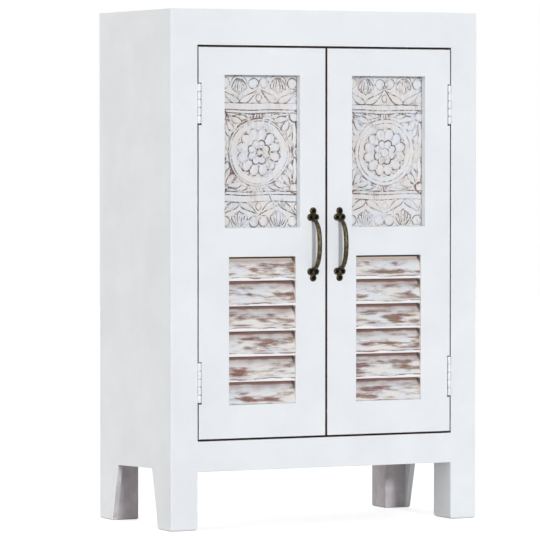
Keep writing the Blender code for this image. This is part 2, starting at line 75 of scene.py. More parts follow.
# Boards
HALF_GAP = 0.16 * MM
ARRIS = 1.2 * MM
OPENING_ARRIS = 0.8 * MM
DOOR_ARRIS = 0.8 * MM
CLOSING_BEVEL = 2.0 * MM
CLOSING_ARRIS = 1.1 * MM
FOOT_ROUND = 6.0 * MM
BOARD_FOOT_ROUND = 3.5 * MM
# Height of the painted contact shadow at the bottom of the feet
FOOT_CONTACT_SHADE = 1.2 * MM
ARCH_HEIGHT = 100 * MM
ARCH_SLOPE = 4.5 * MM
FOOT_DEPTH = 54 * MM
FOOT_TAPER = 25 * MM
SHARP = math.radians(30)
MORTISE_ROOM = 0.25 * MM

# Carving: plain numbers are millimetres, and WEAR and GROUND_SHOWS are shares
CARVING_STEP = 0.65 * MM
CARVING_LAP = 1.5 * MM
CUT_REACH = 1.6
CUT_FULL = 0.9
GROUND_SHOWS = 0.62
WEAR = {"left": 0.92, "right": 0.72}
GROUND_DEPTH = 4.2
CARVING_DROP = 1.6
FIELD_HALF = 68.4
FILLET_HALF = 73.6
GARLAND_LOW = {"left": 85.4, "right": 82.8}
GARLAND_HIGH = 111.5
GARLAND_HALF_WAVE = 37.5
RING_REACH = 58.6
RING_GROOVE = {"left": 54.9, "right": 51.8}
BAND_INNER = 43.0
FLOWER_REACH = 41.6
HEART_REACH = 21.2
BOSS_RADIUS = 7.6

# Louvres
SLATS = 6
SLAT_PITCH = 43.8 * MM
SLAT_OVER = 2.1 * MM
SLAT_LAP = 5.0 * MM
SLAT_THICK = 6.0 * MM
SLAT_SETBACK = 1.5 * MM
SLAT_ARRIS = 0.8 * MM
SLAT_LIP = 1.8 * MM
LIP_WANDER = 3.4 * MM
SLAT_SLOPE = math.tan(math.radians(14))
SLAT_STATIONS = 60
SLAT_CORNER = 4.5 * MM
BACK_POINTS = 4
SLAT_BACK_TONE = 0.42

# Handles
GRIP_STAND = 25.8 * MM
GRIP_THICK = 8.4 * MM
GRIP_END_THICK = 6.6 * MM
GRIP_FULLNESS = 2.3
ROSETTE_THICK = 3.4 * MM
LOBE_RADIUS = 6.2 * MM
LOBE_SPREAD = 5.4 * MM
TIP_RADIUS = 6.4 * MM
TIP_RISE = 11.0 * MM
SCREW_RADIUS = 4.0 * MM
# Shares of a rosette's thickness, but CUP_REACH is a share of a lobe's radius
ROSETTE_RIM = 0.25
CUP_DEPTH = 0.75
CUP_REACH = 0.62
SCREW_SEAT = 0.32

# Hinges
KNUCKLES = 5
KNUCKLE_RADIUS = 3.0 * MM
KNUCKLE_GAP = 0.45 * MM
KNUCKLE_EASE = 0.35 * MM
KNUCKLE_INSET = 0.45 * MM
BELOW_BARREL = 2.2 * MM
ABOVE_BARREL = 1.2 * MM
HOLLOW_ROOM = 0.9 * MM
HOLLOW_END_ROOM = 1.3 * MM
PIN_RADIUS = 1.4 * MM
PIN_PROUD = 0.6 * MM
OWNED_KNUCKLES = {"frame_leaf": (0, 2, 4), "door_leaf": (1, 3)}
LEAF_THICK = 1.2 * MM
LEAF_ARRIS = 0.25 * MM
LEAF_SCREW_RADIUS = 2.9 * MM
LEAF_SCREW_STAGGER = 1.8 * MM
HOLE_ROOM = 0.2 * MM

# Catch
POLE_THICK = 1.0 * MM
POLE_REACH = 12 * MM
POLE_DEPTH = 4 * MM
POLE_OFF_MIDDLE = 2.6 * MM
CATCH_ROUND = 1.2 * MM
CATCH_SCREW_INSET = 5 * MM
CATCH_SCREW_FORWARD = 6 * MM
STRIKE_ROUND = 2.0 * MM

# View and light
CAMERA_PLACE = (-3.25609, -6.4697, 0.66337)
CAMERA_TILT = math.radians(88.2599)
CAMERA_TURN = math.radians(-26.4116)
CAMERA_LENS = 271.56
FLOOR_HALF = 9.0
AMBIENT_TINT = (1.0, 0.945, 0.96, 1)

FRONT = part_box("top_panel")[0].y
LOUVRE_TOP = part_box("door_left_middle_rail")[0].z


def shade(red, green, blue):
    """A colour given as it shows on a screen, 0 to 255, as the linear values that a shader takes."""
    light = []
    for value in (red / 255, green / 255, blue / 255):
        light.append(value / 12.92 if value < 0.04045 else ((value + 0.055) / 1.055) ** 2.4)
    return (*light, 1)


class Finish:
    """A material built up node by node round its Principled shader."""

    def __init__(self, name, colour, roughness, metallic=0.0):
        self.material = bpy.data.materials.new(name)
        self.material.use_nodes = True
        self.tree = self.material.node_tree
        self.shader = self.tree.nodes["Principled BSDF"]
        self.shader.inputs["Base Color"].default_value = colour
        self.shader.inputs["Roughness"].default_value = roughness
        self.shader.inputs["Metallic"].default_value = metallic
        self.place = self.tree.nodes.new("ShaderNodeTexCoord").outputs["Object"]

    def feed(self, socket, value):
        """Links a socket to another, or sets its value."""
        if isinstance(value, bpy.types.NodeSocket):
            self.tree.links.new(value, socket)
        else:
            socket.default_value = value

    def add(self, kind, sockets=(), **settings):
        """A shader node, with its inputs and its settings by name."""
        node = self.tree.nodes.new("ShaderNode" + kind)
        for name, value in settings.items():
            setattr(node, name, value)
        for name, value in dict(sockets).items():
            self.feed(node.inputs[name], value)
        return node

    def noise(self, size, detail=3, roughness=0.55, stretch=(1, 1, 1), start=(0, 0, 0)):
        """Cloudy values from 0 to 1 whose patches are about one size across, times a stretch."""
        scale = [1 / (size * part) for part in stretch]
        place = self.add("Mapping", {"Vector": self.place, "Scale": scale, "Location": start}).outputs[0]
        return self.add("TexNoise", {"Vector": place, "Scale": 1.0, "Detail": detail,
                                     "Roughness": roughness}).outputs["Fac"]

    def span(self, value, low, high, first=0.0, last=1.0):
        """A value moved smoothly from one range to another."""
        return self.add("MapRange", {"Value": value, "From Min": low, "From Max": high,
                                     "To Min": first, "To Max": last},
                        interpolation_type="SMOOTHSTEP").outputs["Result"]

    def sum(self, operation, first, second):
        """What an operation makes of two values."""
        node = self.add("Math", operation=operation)
        self.feed(node.inputs[0], first)
        self.feed(node.inputs[1], second)
        return node.outputs[0]

    def mix(self, factor, first, second):
        """A colour between two, nearer the second the higher the factor."""
        node = self.add("Mix", data_type="RGBA")
        for socket, value in zip((node.inputs[0], node.inputs[6], node.inputs[7]), (factor, first, second)):
            self.feed(socket, value)
        return node.outputs[2]

    def along(self, axis):
        """The place along one axis, in metres."""
        return self.add("SeparateXYZ", {"Vector": self.place}).outputs[axis]

    def reading(self, name):
        """A value that the mesh holds at each point."""
        return self.add("Attribute", attribute_name=name).outputs["Fac"]

    def colour(self, value):
        self.feed(self.shader.inputs["Base Color"], value)

    def roughness(self, value):
        self.feed(self.shader.inputs["Roughness"], value)

    def bump(self, height, depth, under=None):
        """Raises the surface by a height of 0 to 1, times a depth in metres."""
        sockets = {"Height": height, "Distance": depth, "Strength": 1.0}
        if under:
            sockets["Normal"] = under
        normal = self.add("Bump", sockets).outputs[0]
        self.feed(self.shader.inputs["Normal"], normal)
        return normal


def white_paint():
    """Satin white brushed on smooth wood: cool, with soft cloudy changes and faint upright brush marks."""
    finish = Finish("white_paint", shade(231, 236, 239), 0.42)
    cloud = finish.span(finish.noise(90 * MM, 4), 0.3, 0.7)
    tint = finish.mix(cloud, shade(228, 232, 236), shade(233, 238, 241))
    dust = finish.span(finish.noise(14 * MM, 6), 0.62, 0.86, 0, 0.22)
    finish.colour(finish.mix(dust, tint, shade(214, 216, 216)))
    finish.roughness(finish.span(finish.noise(30 * MM, 5), 0.2, 0.8, 0.36, 0.5))
    brush = finish.noise(1.1 * MM, 4, stretch=(1, 1, 26))
    body = finish.bump(brush, 0.045 * MM)
    finish.bump(finish.noise(11 * MM, 3), 0.10 * MM, body)
    return finish.material


def inside_paint():
    """Thin flat white on plain boards, with the grain showing along X."""
    finish = Finish("inside_paint", shade(222, 220, 214), 0.65)
    grain = finish.noise(2.2 * MM, 6, stretch=(34, 1.4, 1.4))
    cloud = finish.noise(70 * MM, 3)
    base = finish.mix(finish.span(cloud, 0.3, 0.7), shade(219, 216, 211), shade(226, 225, 221))
    finish.colour(finish.mix(finish.span(grain, 0.56, 0.8, 0, 0.5), base, shade(188, 172, 152)))
    finish.bump(grain, 0.12 * MM)
    return finish.material


def thin_grey():
    """Grey-white on the back feet's inner faces, the left side board's cut faces and the soles: a thin coat,
    darkened as painted shade for the shade under the case and along the floor.
    """
    finish = Finish("thin_grey", shade(198, 192, 195), 0.6)
    cloud = finish.span(finish.noise(26 * MM, 4), 0.35, 0.65)
    grain = finish.noise(1.5 * MM, 6, stretch=(1.5, 1.5, 30))
    coat = finish.mix(cloud, shade(190, 184, 188), shade(207, 202, 204))
    finish.colour(finish.mix(finish.span(grain, 0.5, 0.8, 0, 0.5), coat, shade(168, 160, 160)))
    finish.bump(grain, 0.08 * MM)
    return finish.material


def rubbed_edge():
    """Upright edges by the hinges, where the paint is rubbed through to grey-brown wood, kept dark as painted
    shade in the gaps and the hinge hollows.
    """
    finish = Finish("rubbed_edge", shade(108, 96, 92), 0.62)
    grain = finish.noise(1.6 * MM, 6, stretch=(1.5, 1.5, 40))
    wood = finish.mix(finish.span(grain, 0.3, 0.75), shade(84, 75, 72), shade(128, 115, 109))
    left = finish.span(finish.noise(14 * MM, 4, stretch=(1, 1, 6)), 0.44, 0.62)
    finish.colour(finish.mix(left, wood, shade(176, 170, 167)))
    finish.bump(grain, 0.15 * MM)
    return finish.material


def bare_edge():
    """Door edges left as dark wood, with hardly any paint, also laid as painted shade on the faces in the
    door gaps and at the ends of the hinge hollows.
    """
    finish = Finish("bare_edge", shade(70, 46, 39), 0.68)
    grain = finish.noise(1.6 * MM, 6, stretch=(1.5, 1.5, 40))
    wood = finish.mix(finish.span(grain, 0.3, 0.75), shade(54, 34, 28), shade(92, 62, 52))
    left = finish.span(finish.noise(9 * MM, 5, stretch=(1, 1, 5)), 0.64, 0.72)
    finish.colour(finish.mix(left, wood, shade(190, 182, 176)))
    finish.bump(grain, 0.15 * MM)
    return finish.material


def opening_cream():
    """Cream undercoat on the narrow walls beside the louvres, with a dark brown painted shadow at the back
    under each slat.
    """
    finish = Finish("opening_cream", shade(224, 212, 196), 0.6)
    grain = finish.noise(1.6 * MM, 6, stretch=(1.5, 1.5, 24))
    stain = finish.span(finish.noise(12 * MM, 4, stretch=(1, 1, 2)), 0.5, 0.72, 0, 0.4)
    cream = finish.mix(finish.span(grain, 0.45, 0.75, 0, 0.4), shade(242, 239, 234), shade(218, 208, 196))
    paint = finish.mix(stain, cream, shade(190, 160, 140))
    # Painted shadow: each wall is dark brown in its deep part just under each slat, where the slat above
    # shades it.
    under = finish.sum("FLOORED_MODULO", finish.sum("SUBTRACT", LOUVRE_TOP, finish.along("Z")), SLAT_PITCH)
    under = finish.sum("ADD", under, finish.sum("MULTIPLY", finish.sum("SUBTRACT", stain, 0.3), 6 * MM))
    deep = finish.span(finish.along("Y"), FRONT + 2.5 * MM, FRONT + 5 * MM)
    corner = finish.sum("MULTIPLY", finish.span(under, 6 * MM, 16 * MM, 0.9, 0), deep)
    finish.colour(finish.mix(corner, paint, shade(112, 97, 88)))
    finish.bump(grain, 0.1 * MM)
    return finish.material


def carved_whitewash():
    """Whitewash over brown wood: brown where the wash missed the cuts and where the carving marks painted
    shade, and whitest on the ridges as wash and painted highlight.
    """
    finish = Finish("carved_whitewash", shade(222, 221, 221), 0.6)
    grain = finish.noise(1.2 * MM, 5, stretch=(1.2, 1.2, 20))
    cloud = finish.span(finish.noise(34 * MM, 4), 0.35, 0.65)
    wash = finish.mix(cloud, shade(220, 224, 230), shade(223, 221, 219))
    wash = finish.mix(finish.span(grain, 0.48, 0.78, 0, 0.5), wash, shade(186, 176, 172))
    cut = finish.reading("cut")
    # Painted highlight, with the wash: the ridges are whiter.
    ridge_wash_and_highlight = finish.span(finish.sum("MULTIPLY", cut, -1.0), 0.04, 0.28)
    wash = finish.mix(ridge_wash_and_highlight, wash, shade(250, 253, 255))
    tone = finish.span(finish.noise(20 * MM, 3, start=(3, 1, 2)), 0.46, 0.64)
    wood = finish.mix(tone, shade(106, 92, 88), shade(142, 106, 90))
    patch = finish.span(finish.noise(26 * MM, 4, start=(7, 0, 4)), 0.36, 0.64, 0.4, 2.0)
    breaks = finish.span(finish.noise(6 * MM, 3, start=(1, 8, 4)), 0.38, 0.6, 0.08, 1.45)
    rub = finish.sum("MULTIPLY", patch, breaks)
    brown = finish.span(finish.sum("MULTIPLY", cut, rub), 0.06, 0.8, 0, 0.95)
    bare = finish.span(finish.noise(30 * MM, 4, start=(1, 5, 9)), 0.52, 0.70, 0, 0.55)
    bare = finish.sum("MULTIPLY", bare, finish.span(grain, 0.38, 0.6))
    worn = finish.sum("MAXIMUM", brown, bare)
    finish.colour(finish.mix(worn, wash, wood))
    finish.roughness(finish.span(worn, 0, 1, 0.55, 0.75))
    body = finish.bump(grain, 0.10 * MM)
    finish.bump(finish.noise(3 * MM, 4), 0.12 * MM, body)
    return finish.material


def worn_slat_paint():
    """Thin white brushed along the slats, sanded to brown in soft patches, bare under the slat above, with
    painted shade towards the slat above, in the corners at the ends and under the rail, and a painted
    highlight on each lip.
    """
    finish = Finish("worn_slat_paint", shade(216, 215, 215), 0.55)
    streak = finish.noise(1.2 * MM, 6, stretch=(26, 1.5, 1))
    fray = finish.sum("SUBTRACT", streak, 0.5)
    up = finish.reading("up")
    cloud = finish.span(finish.noise(24 * MM, 3, stretch=(2.5, 1, 1)), 0.35, 0.65)
    white = finish.mix(cloud, shade(218, 223, 229), shade(224, 222, 219))
    # Painted shade: each slat greys towards the slat above.
    white = finish.mix(finish.span(up, 0.45, 0.90, 0, 0.7), white, shade(188, 184, 186))
    white = finish.mix(finish.span(streak, 0.50, 0.8, 0, 0.55), white, shade(184, 174, 169))
    # Painted highlight: each slat's lip is whiter.
    white = finish.mix(finish.span(up, 0.035, 0.06, 1, 0), white, shade(237, 239, 241))
    tone = finish.span(finish.noise(34 * MM, 2, start=(2, 0, 5)), 0.42, 0.58)
    wood = finish.mix(tone, shade(134, 88, 78), shade(142, 112, 90))
    wood = finish.mix(finish.span(streak, 0.34, 0.60), shade(98, 74, 67), wood)
    patch = finish.noise(9.5 * MM, 4, 0.5, stretch=(4.0, 1, 1), start=(0, 3, 1))
    patch = finish.sum("ADD", patch, finish.sum("MULTIPLY", fray, 0.26))
    patch = finish.span(patch, 0.42, 0.66, 0, 1.0)
    patch = finish.sum("MULTIPLY", patch, finish.span(streak, 0.30, 0.50, 0.55, 1.0))
    middle = finish.sum("MULTIPLY", finish.span(up, 0.10, 0.24), finish.span(up, 0.70, 0.86, 1, 0))
    patch = finish.sum("MULTIPLY", patch, middle)
    wave = finish.sum("SUBTRACT", finish.noise(30 * MM, 3, start=(4, 4, 0)), 0.5)
    height = finish.sum("ADD", up, finish.sum("MULTIPLY", fray, 0.05))
    band = finish.span(finish.sum("ADD", height, finish.sum("MULTIPLY", wave, 0.12)), 0.845, 0.885)
    # Partly painted shade: brown fading down from the band under the slat above.
    brown_and_shade_fade = finish.span(finish.sum("ADD", height, finish.sum("MULTIPLY", wave, 0.9)), 0.62, 0.95, 0, 0.45)
    low = finish.sum("MULTIPLY", finish.span(up, 0.047, 0.060), finish.span(up, 0.07, 0.16, 1, 0))
    gaps = finish.span(finish.noise(22 * MM, 4, stretch=(1.6, 1, 1), start=(9, 2, 0)), 0.40, 0.58, 0.1, 0.95)
    low = finish.sum("MULTIPLY", low, gaps)
    worn = finish.sum("MAXIMUM", finish.sum("MAXIMUM", patch, brown_and_shade_fade), low)
    paint = finish.mix(worn, white, wood)
    # Painted light: the top of the bare band is lighter, against the shade under the lip above.
    bare = finish.mix(finish.span(up, 0.92, 1.0), shade(140, 104, 94), shade(182, 142, 130))
    bare = finish.mix(finish.span(streak, 0.35, 0.62), shade(116, 84, 76), bare)
    below_rail = finish.sum("SUBTRACT", LOUVRE_TOP, finish.along("Z"))
    bare = finish.mix(finish.span(below_rail, 10 * MM, 12 * MM, 1, 0), bare, shade(204, 184, 166))
    # Painted shadow: a dark line on the top slat just under the middle rail.
    bare = finish.mix(finish.span(below_rail, 2.4 * MM, 4.2 * MM, 1, 0), bare, shade(66, 50, 44))
    paint = finish.mix(band, paint, bare)
    # Painted shade: dark in the corners at each slat's ends, under the slat above.
    at_end = finish.span(finish.reading("end"), 0.2, 0.9, 1, 0)
    corner = finish.sum("MULTIPLY", at_end, finish.span(up, 0.70, 0.88))
    finish.colour(finish.mix(corner, paint, shade(70, 52, 48)))
    finish.roughness(finish.span(worn, 0, 1, 0.5, 0.72))
    body = finish.bump(streak, 0.14 * MM)
    finish.bump(finish.sum("SUBTRACT", 1.0, worn), 0.12 * MM, body)
    return finish.material


def antique_bronze():
    """Cast bronze gone dark, rubbed to olive gold where a hand takes hold."""
    finish = Finish("antique_bronze", shade(66, 60, 42), 0.36, 0.8)
    mottle = finish.span(finish.noise(5 * MM, 5), 0.35, 0.68)
    finish.colour(finish.mix(mottle, shade(50, 44, 31), shade(96, 86, 63)))
    finish.roughness(finish.span(finish.noise(3 * MM, 4), 0.3, 0.7, 0.28, 0.44))
    finish.bump(finish.noise(1.4 * MM, 4), 0.10 * MM)
    return finish.material


def dark_screw():
    """Blackened steel screws."""
    finish = Finish("dark_screw", shade(24, 21, 17), 0.5, 1.0)
    mottle = finish.span(finish.noise(1.5 * MM, 4), 0.35, 0.7)
    finish.colour(finish.mix(mottle, shade(14, 12, 10), shade(34, 30, 22)))
    finish.bump(mottle, 0.05 * MM)
    return finish.material


def painted_steel():
    """White gloss over steel hinges, chipped a little."""
    finish = Finish("painted_steel", shade(234, 236, 238), 0.3)
    cloud = finish.span(finish.noise(6 * MM, 4), 0.3, 0.7)
    chips = finish.span(finish.noise(1.8 * MM, 6), 0.70, 0.76, 0, 0.6)
    finish.colour(finish.mix(chips, finish.mix(cloud, shade(229, 232, 234), shade(238, 240, 242)),
                             shade(120, 112, 104)))
    finish.roughness(finish.span(cloud, 0, 1, 0.26, 0.38))
    finish.bump(finish.noise(2.5 * MM, 3), 0.06 * MM)
    return finish.material


def bare_steel():
    """Plain zinc-plated steel with fine scratches."""
    finish = Finish("bare_steel", shade(178, 178, 176), 0.35, 1.0)
    scratch = finish.noise(0.6 * MM, 5, stretch=(1, 1, 18))
    finish.colour(finish.mix(finish.span(scratch, 0.3, 0.7), shade(158, 158, 156), shade(196, 196, 193)))
    finish.roughness(finish.span(scratch, 0.3, 0.7, 0.28, 0.44))
    finish.bump(scratch, 0.02 * MM)
    return finish.material


def catch_plastic():
    """Off-white moulded plastic."""
    finish = Finish("catch_plastic", shade(226, 224, 216), 0.45)
    cloud = finish.span(finish.noise(10 * MM, 3), 0.3, 0.7)
    finish.colour(finish.mix(cloud, shade(220, 217, 208), shade(229, 227, 220)))
    finish.bump(finish.noise(0.5 * MM, 3), 0.03 * MM)
    return finish.material


FINISHES = {make.__name__: make() for make in (
    white_paint, inside_paint, thin_grey, rubbed_edge, bare_edge, opening_cream, carved_whitewash,
    worn_slat_paint, antique_bronze, dark_screw, painted_steel, bare_steel, catch_plastic)}


class Growth:
    """A geometry node tree with named sizes, which an object's mesh goes through once."""

    def __init__(self, name, sizes):
        self.tree = bpy.data.node_groups.new(name, "GeometryNodeTree")
        self.tree.interface.new_socket("Geometry", in_out="INPUT", socket_type="NodeSocketGeometry")
        self.tree.interface.new_socket("Geometry", in_out="OUTPUT", socket_type="NodeSocketGeometry")
        for size, kind in sizes.items():
            self.tree.interface.new_socket(size, in_out="INPUT", socket_type="NodeSocket" + kind)
        self.sizes = self.tree.nodes.new("NodeGroupInput").outputs
        self.end = self.tree.nodes.new("NodeGroupOutput").inputs[0]

    def add(self, kind, sockets=(), **settings):
        node = self.tree.nodes.new(kind)
        for name, value in settings.items():
            setattr(node, name, value)
        for name, value in dict(sockets).items():
            socket = node.inputs[name]
            if isinstance(value, bpy.types.NodeSocket):
                self.tree.links.new(value, socket)
            else:
                socket.default_value = value
        return node

    def sum(self, operation, *values):
        node = self.add("ShaderNodeMath", dict(enumerate(values)), operation=operation)
        return node.outputs[0]

    def close(self, geometry, finish):
        """Ends the tree in plain geometry with its finish."""
        real = self.add("GeometryNodeRealizeInstances", {"Geometry": geometry}).outputs[0]
        painted = self.add("GeometryNodeSetMaterial", {"Geometry": real, "Material": finish}).outputs[0]
        self.tree.links.new(painted, self.end)

    def grow(self, made, sizes):
        """Sends an object's mesh through the tree and keeps the result as its plain mesh."""
        change = made.modifiers.new(self.tree.name, "NODES")
        change.node_group = self.tree
        for socket in self.tree.interface.items_tree:
            if socket.name in sizes:
                change[socket.identifier] = sizes[socket.name]
        settle(made)
        return made


def settle(made):
    """Turns an object's modifiers into its plain mesh."""
    graph = bpy.context.evaluated_depsgraph_get()
    mesh = bpy.data.meshes.new_from_object(made.evaluated_get(graph))
    made.modifiers.clear()
    made.data = mesh
    mesh.name = made.name


def placed(name, mesh):
    """A new object at the origin that shows a mesh."""
    made = bpy.data.objects.new(name, mesh)
    bpy.context.scene.collection.objects.link(made)
    return made


def shaped(name, form, finishes=(), smooth=True):
    """An object at the origin from a bmesh, whose faces keep their material numbers."""
    mesh = bpy.data.meshes.new(name)
    form.to_mesh(mesh)
    form.free()
    for finish in finishes:
        mesh.materials.append(FINISHES[finish])
    if smooth:
        mesh.shade_smooth()
        mesh.set_sharp_from_angle(angle=SHARP)
    return placed(name, mesh)


def worn_by(made, body, slot, *nodes):
    """Lets a piece move with a body, and stand for the nodes whose place it takes."""
    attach(made, body)
    if nodes:
        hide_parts(*nodes)
    return made


def around(*nodes):
    """The corners of the box round some nodes of the frame."""
    boxes = [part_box(node) for node in nodes]
    low = Vector(min(box[0][axis] for box in boxes) for axis in range(3))
    high = Vector(max(box[1][axis] for box in boxes) for axis in range(3))
    return low, high


def grown(box, amount):
    """A box made larger by the same amount on every side."""
    spread = Vector((amount, amount, amount))
    return box[0] - spread, box[1] + spread


def block(box):
    """A plain solid that fills a box."""
    form = bmesh.new()
    bmesh.ops.create_cube(form, size=1)
    low, high = box
    for vert in form.verts:
        vert.co = Vector(high[axis] if vert.co[axis] > 0 else low[axis] for axis in range(3))
    return form


def pushed(outline, push):
    """A closed outline of points pushed along a vector into a solid."""
    form = bmesh.new()
    face = form.faces.new([form.verts.new(point) for point in outline])
    moved = bmesh.ops.extrude_face_region(form, geom=[face])["geom"]
    far_verts = [part for part in moved if isinstance(part, bmesh.types.BMVert)]
    bmesh.ops.translate(form, vec=push, verts=far_verts)
    bmesh.ops.recalc_face_normals(form, faces=form.faces)
    return form


def turned(profile, place, sides):
    """A closed round form. The profile runs as (radius, height) from its lower end to its upper end."""
    form = bmesh.new()
    rings = []
    for radius, height in profile:
        rings.append([form.verts.new((radius * math.cos(turn), radius * math.sin(turn), height))
                      for turn in (math.tau * step / sides for step in range(sides))])
    for lower, upper in zip(rings, rings[1:]):
        for step in range(sides):
            form.faces.new((lower[step], lower[(step + 1) % sides], upper[(step + 1) % sides], upper[step]))
    form.faces.new(reversed(rings[0]))
    form.faces.new(rings[-1])
    bmesh.ops.translate(form, vec=place, verts=form.verts)
    return form


def skinned(form, rings):
    """Joins rings of points, one after another, into a closed skin with flat ends."""
    for first, second in zip(rings, rings[1:]):
        for step in range(len(first)):
            after = (step + 1) % len(first)
            form.faces.new((first[step], first[after], second[after], second[step]))
    form.faces.new(rings[0])
    form.faces.new(rings[-1])
    bmesh.ops.recalc_face_normals(form, faces=form.faces)
    return form


def aimed(form, facing, place):
    """Turns a form made along Z to face another way, and puts it in its place."""
    form.transform(Matrix.Translation(place) @ Vector(facing).to_track_quat("Z", "Y").to_matrix().to_4x4())
    return form


def joined(forms):
    """Several forms as one, each still a body of its own."""
    whole = bmesh.new()
    for form in forms:
        part = bpy.data.meshes.new("part")
        form.to_mesh(part)
        form.free()
        whole.from_mesh(part)
        bpy.data.meshes.remove(part)
    return whole


def fitted(made, forms, operation):
    """Joins forms onto an object or cuts them out of it, all at once."""
    helpers = bpy.data.collections.new("helpers")
    bpy.context.scene.collection.children.link(helpers)
    for form in forms:
        mesh = bpy.data.meshes.new("helper")
        form.to_mesh(mesh)
        form.free()
        helpers.objects.link(bpy.data.objects.new("helper", mesh))
    change = made.modifiers.new("fit", "BOOLEAN")
    change.operation = operation
    change.operand_type = "COLLECTION"
    change.collection = helpers
    settle(made)
    for helper in list(helpers.objects):
        bpy.data.objects.remove(helper)
    bpy.data.collections.remove(helpers)


def filled(boxes, low, high):
    """One closed form round boxes that meet, kept between two corners.

    Lines closer together than a joint become one line, so that the paint fills the joint.
    """
    lines = []
    boxes = [[[min(max(corner[axis], low[axis]), high[axis]) for axis in range(3)] for corner in box]
             for box in boxes]
    for axis in range(3):
        kept = []
        for value in sorted(corner[axis] for box in boxes for corner in box):
            if not kept or value - kept[-1] > 2.5 * HALF_GAP:
                kept.append(value)
        lines.append(np.array(kept))
    middles = [(values[1:] + values[:-1]) / 2 for values in lines]
    x, y, z = np.meshgrid(*middles, indexing="ij")
    solid = np.zeros(x.shape, bool)
    for start, end in boxes:
        solid |= (x > start[0]) & (x < end[0]) & (y > start[1]) & (y < end[1]) & (z > start[2]) & (z < end[2])
    solid = np.pad(solid, 1)
    form = bmesh.new()
    verts = {}

    def vert(place):
        if place not in verts:
            verts[place] = form.verts.new([lines[axis][place[axis]] for axis in range(3)])
        return verts[place]

    for axis in range(3):
        across, up = np.eye(3, dtype=int)[(axis + 1) % 3], np.eye(3, dtype=int)[(axis + 2) % 3]
        change = np.diff(solid.astype(int), axis=axis)
        for place in np.argwhere(change != 0):
            corner = place - 1 + np.eye(3, dtype=int)[axis]
            ring = [vert(tuple(int(part) for part in corner + step))
                    for step in (0 * across, across, across + up, up)]
            form.faces.new(ring if change[tuple(place)] < 0 else ring[::-1])
    return form


def eased(made, width_of, widest):
    """Rounds the sharp edges, each by its own width."""
    form = bmesh.new()
    form.from_mesh(made.data)
    weight = form.edges.layers.float.new("bevel_weight_edge")
    for edge in form.edges:
        if edge.calc_face_angle_signed(0) > SHARP:
            edge[weight] = width_of(edge.verts[0].co, edge.verts[1].co) / widest
    form.to_mesh(made.data)
    form.free()
    change = made.modifiers.new("ease", "BEVEL")
    change.limit_method = "WEIGHT"
    change.width = widest
    change.segments = 3
    change.use_clamp_overlap = False
    settle(made)


def evened(made):
    """Shades the flats flat and the rounded edges round."""
    made.data.shade_smooth()
    made.data.set_sharp_from_angle(angle=SHARP)
    change = made.modifiers.new("even", "WEIGHTED_NORMAL")
    change.keep_sharp = True
    change.weight = 100
    settle(made)


def painted(made, finishes, finish_at):
    """Gives each face the finish that belongs at its middle."""
    for face in made.data.polygons:
        face.material_index = finishes.index(finish_at(face.center, face.normal))


CASE_BOX = around(*CASE_BOARDS, "back_panel")


def arch(side):
    """What is cut by hand from the foot of a side board to leave two tapered feet."""
    low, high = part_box(f"side_panel_{side}")
    front, rear = FRONT + FOOT_DEPTH, high.y - FOOT_DEPTH
    outline = [(front, -FOOT_DEPTH), (front, 0), (front + FOOT_TAPER, ARCH_HEIGHT + ARCH_SLOPE),
               (rear - FOOT_TAPER, ARCH_HEIGHT), (rear, 0), (rear, -FOOT_DEPTH)]
    inner, outer = (high.x, low.x) if SIDES[side] < 0 else (low.x, high.x)
    start = inner - SIDES[side] * HALF_GAP
    return pushed([(start, y, z) for y, z in outline], (outer - inner + SIDES[side] * ARRIS, 0, 0))


def front_leg(side):
    """The two boxes of a front leg, which is cut away behind for the side board."""
    low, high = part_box(f"front_leg_{side}")
    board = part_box(f"side_panel_{side}")
    face = high.copy()
    face.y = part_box("top_rail")[1].y
    post_low, post_high = low.copy(), high.copy()
    if SIDES[side] < 0:
        post_low.x = board[1].x
    else:
        post_high.x = board[0].x
    return [(low, face), (post_low, post_high)]


def leaf_plate(side, level, leaf):
    """The corners of a hinge leaf's flat plate, behind its knuckles."""
    way = SIDES[side]
    low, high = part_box(f"{side}_{level}_hinge_{leaf}")
    frame_low, frame_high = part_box(f"{side}_{level}_hinge_frame_leaf")
    far = max(way * frame_low.x, way * frame_high.x)
    if leaf == "door_leaf":
        far -= LEAF_THICK + KNUCKLE_GAP
    near_x, far_x = way * (far - LEAF_THICK), way * far
    return (Vector((min(near_x, far_x), FRONT + KNUCKLE_RADIUS, low.z)),
            Vector((max(near_x, far_x), high.y, high.z)))


def knuckle_spans(low_z, high_z, owned):
    """The lower and upper end of each knuckle that a leaf owns."""
    pitch = (high_z - low_z + KNUCKLE_GAP) / KNUCKLES
    return [(low_z + number * pitch, low_z + (number + 1) * pitch - KNUCKLE_GAP) for number in owned]


def hinge_beds(side, leaf):
    """The shallow beds for a leaf of each hinge on one side, open to the gap, and in front for its tabs."""
    beds = []
    for level in HINGE_LEVELS:
        low, high = leaf_plate(side, level, leaf)
        gap_way = SIDES[side] * (1 if leaf == "door_leaf" else -1)
        open_low, open_high = grown((low, high), MORTISE_ROOM)
        if gap_way > 0:
            open_high.x += MM
        else:
            open_low.x -= MM
        beds.append(block((open_low, open_high)))
        for start, end in knuckle_spans(low.z, high.z, OWNED_KNUCKLES[leaf]):
            beds.append(block((Vector((open_low.x, FRONT - MM, start - MORTISE_ROOM / 2)),
                               Vector((open_high.x, low.y + MM, end + MORTISE_ROOM / 2)))))
    return beds


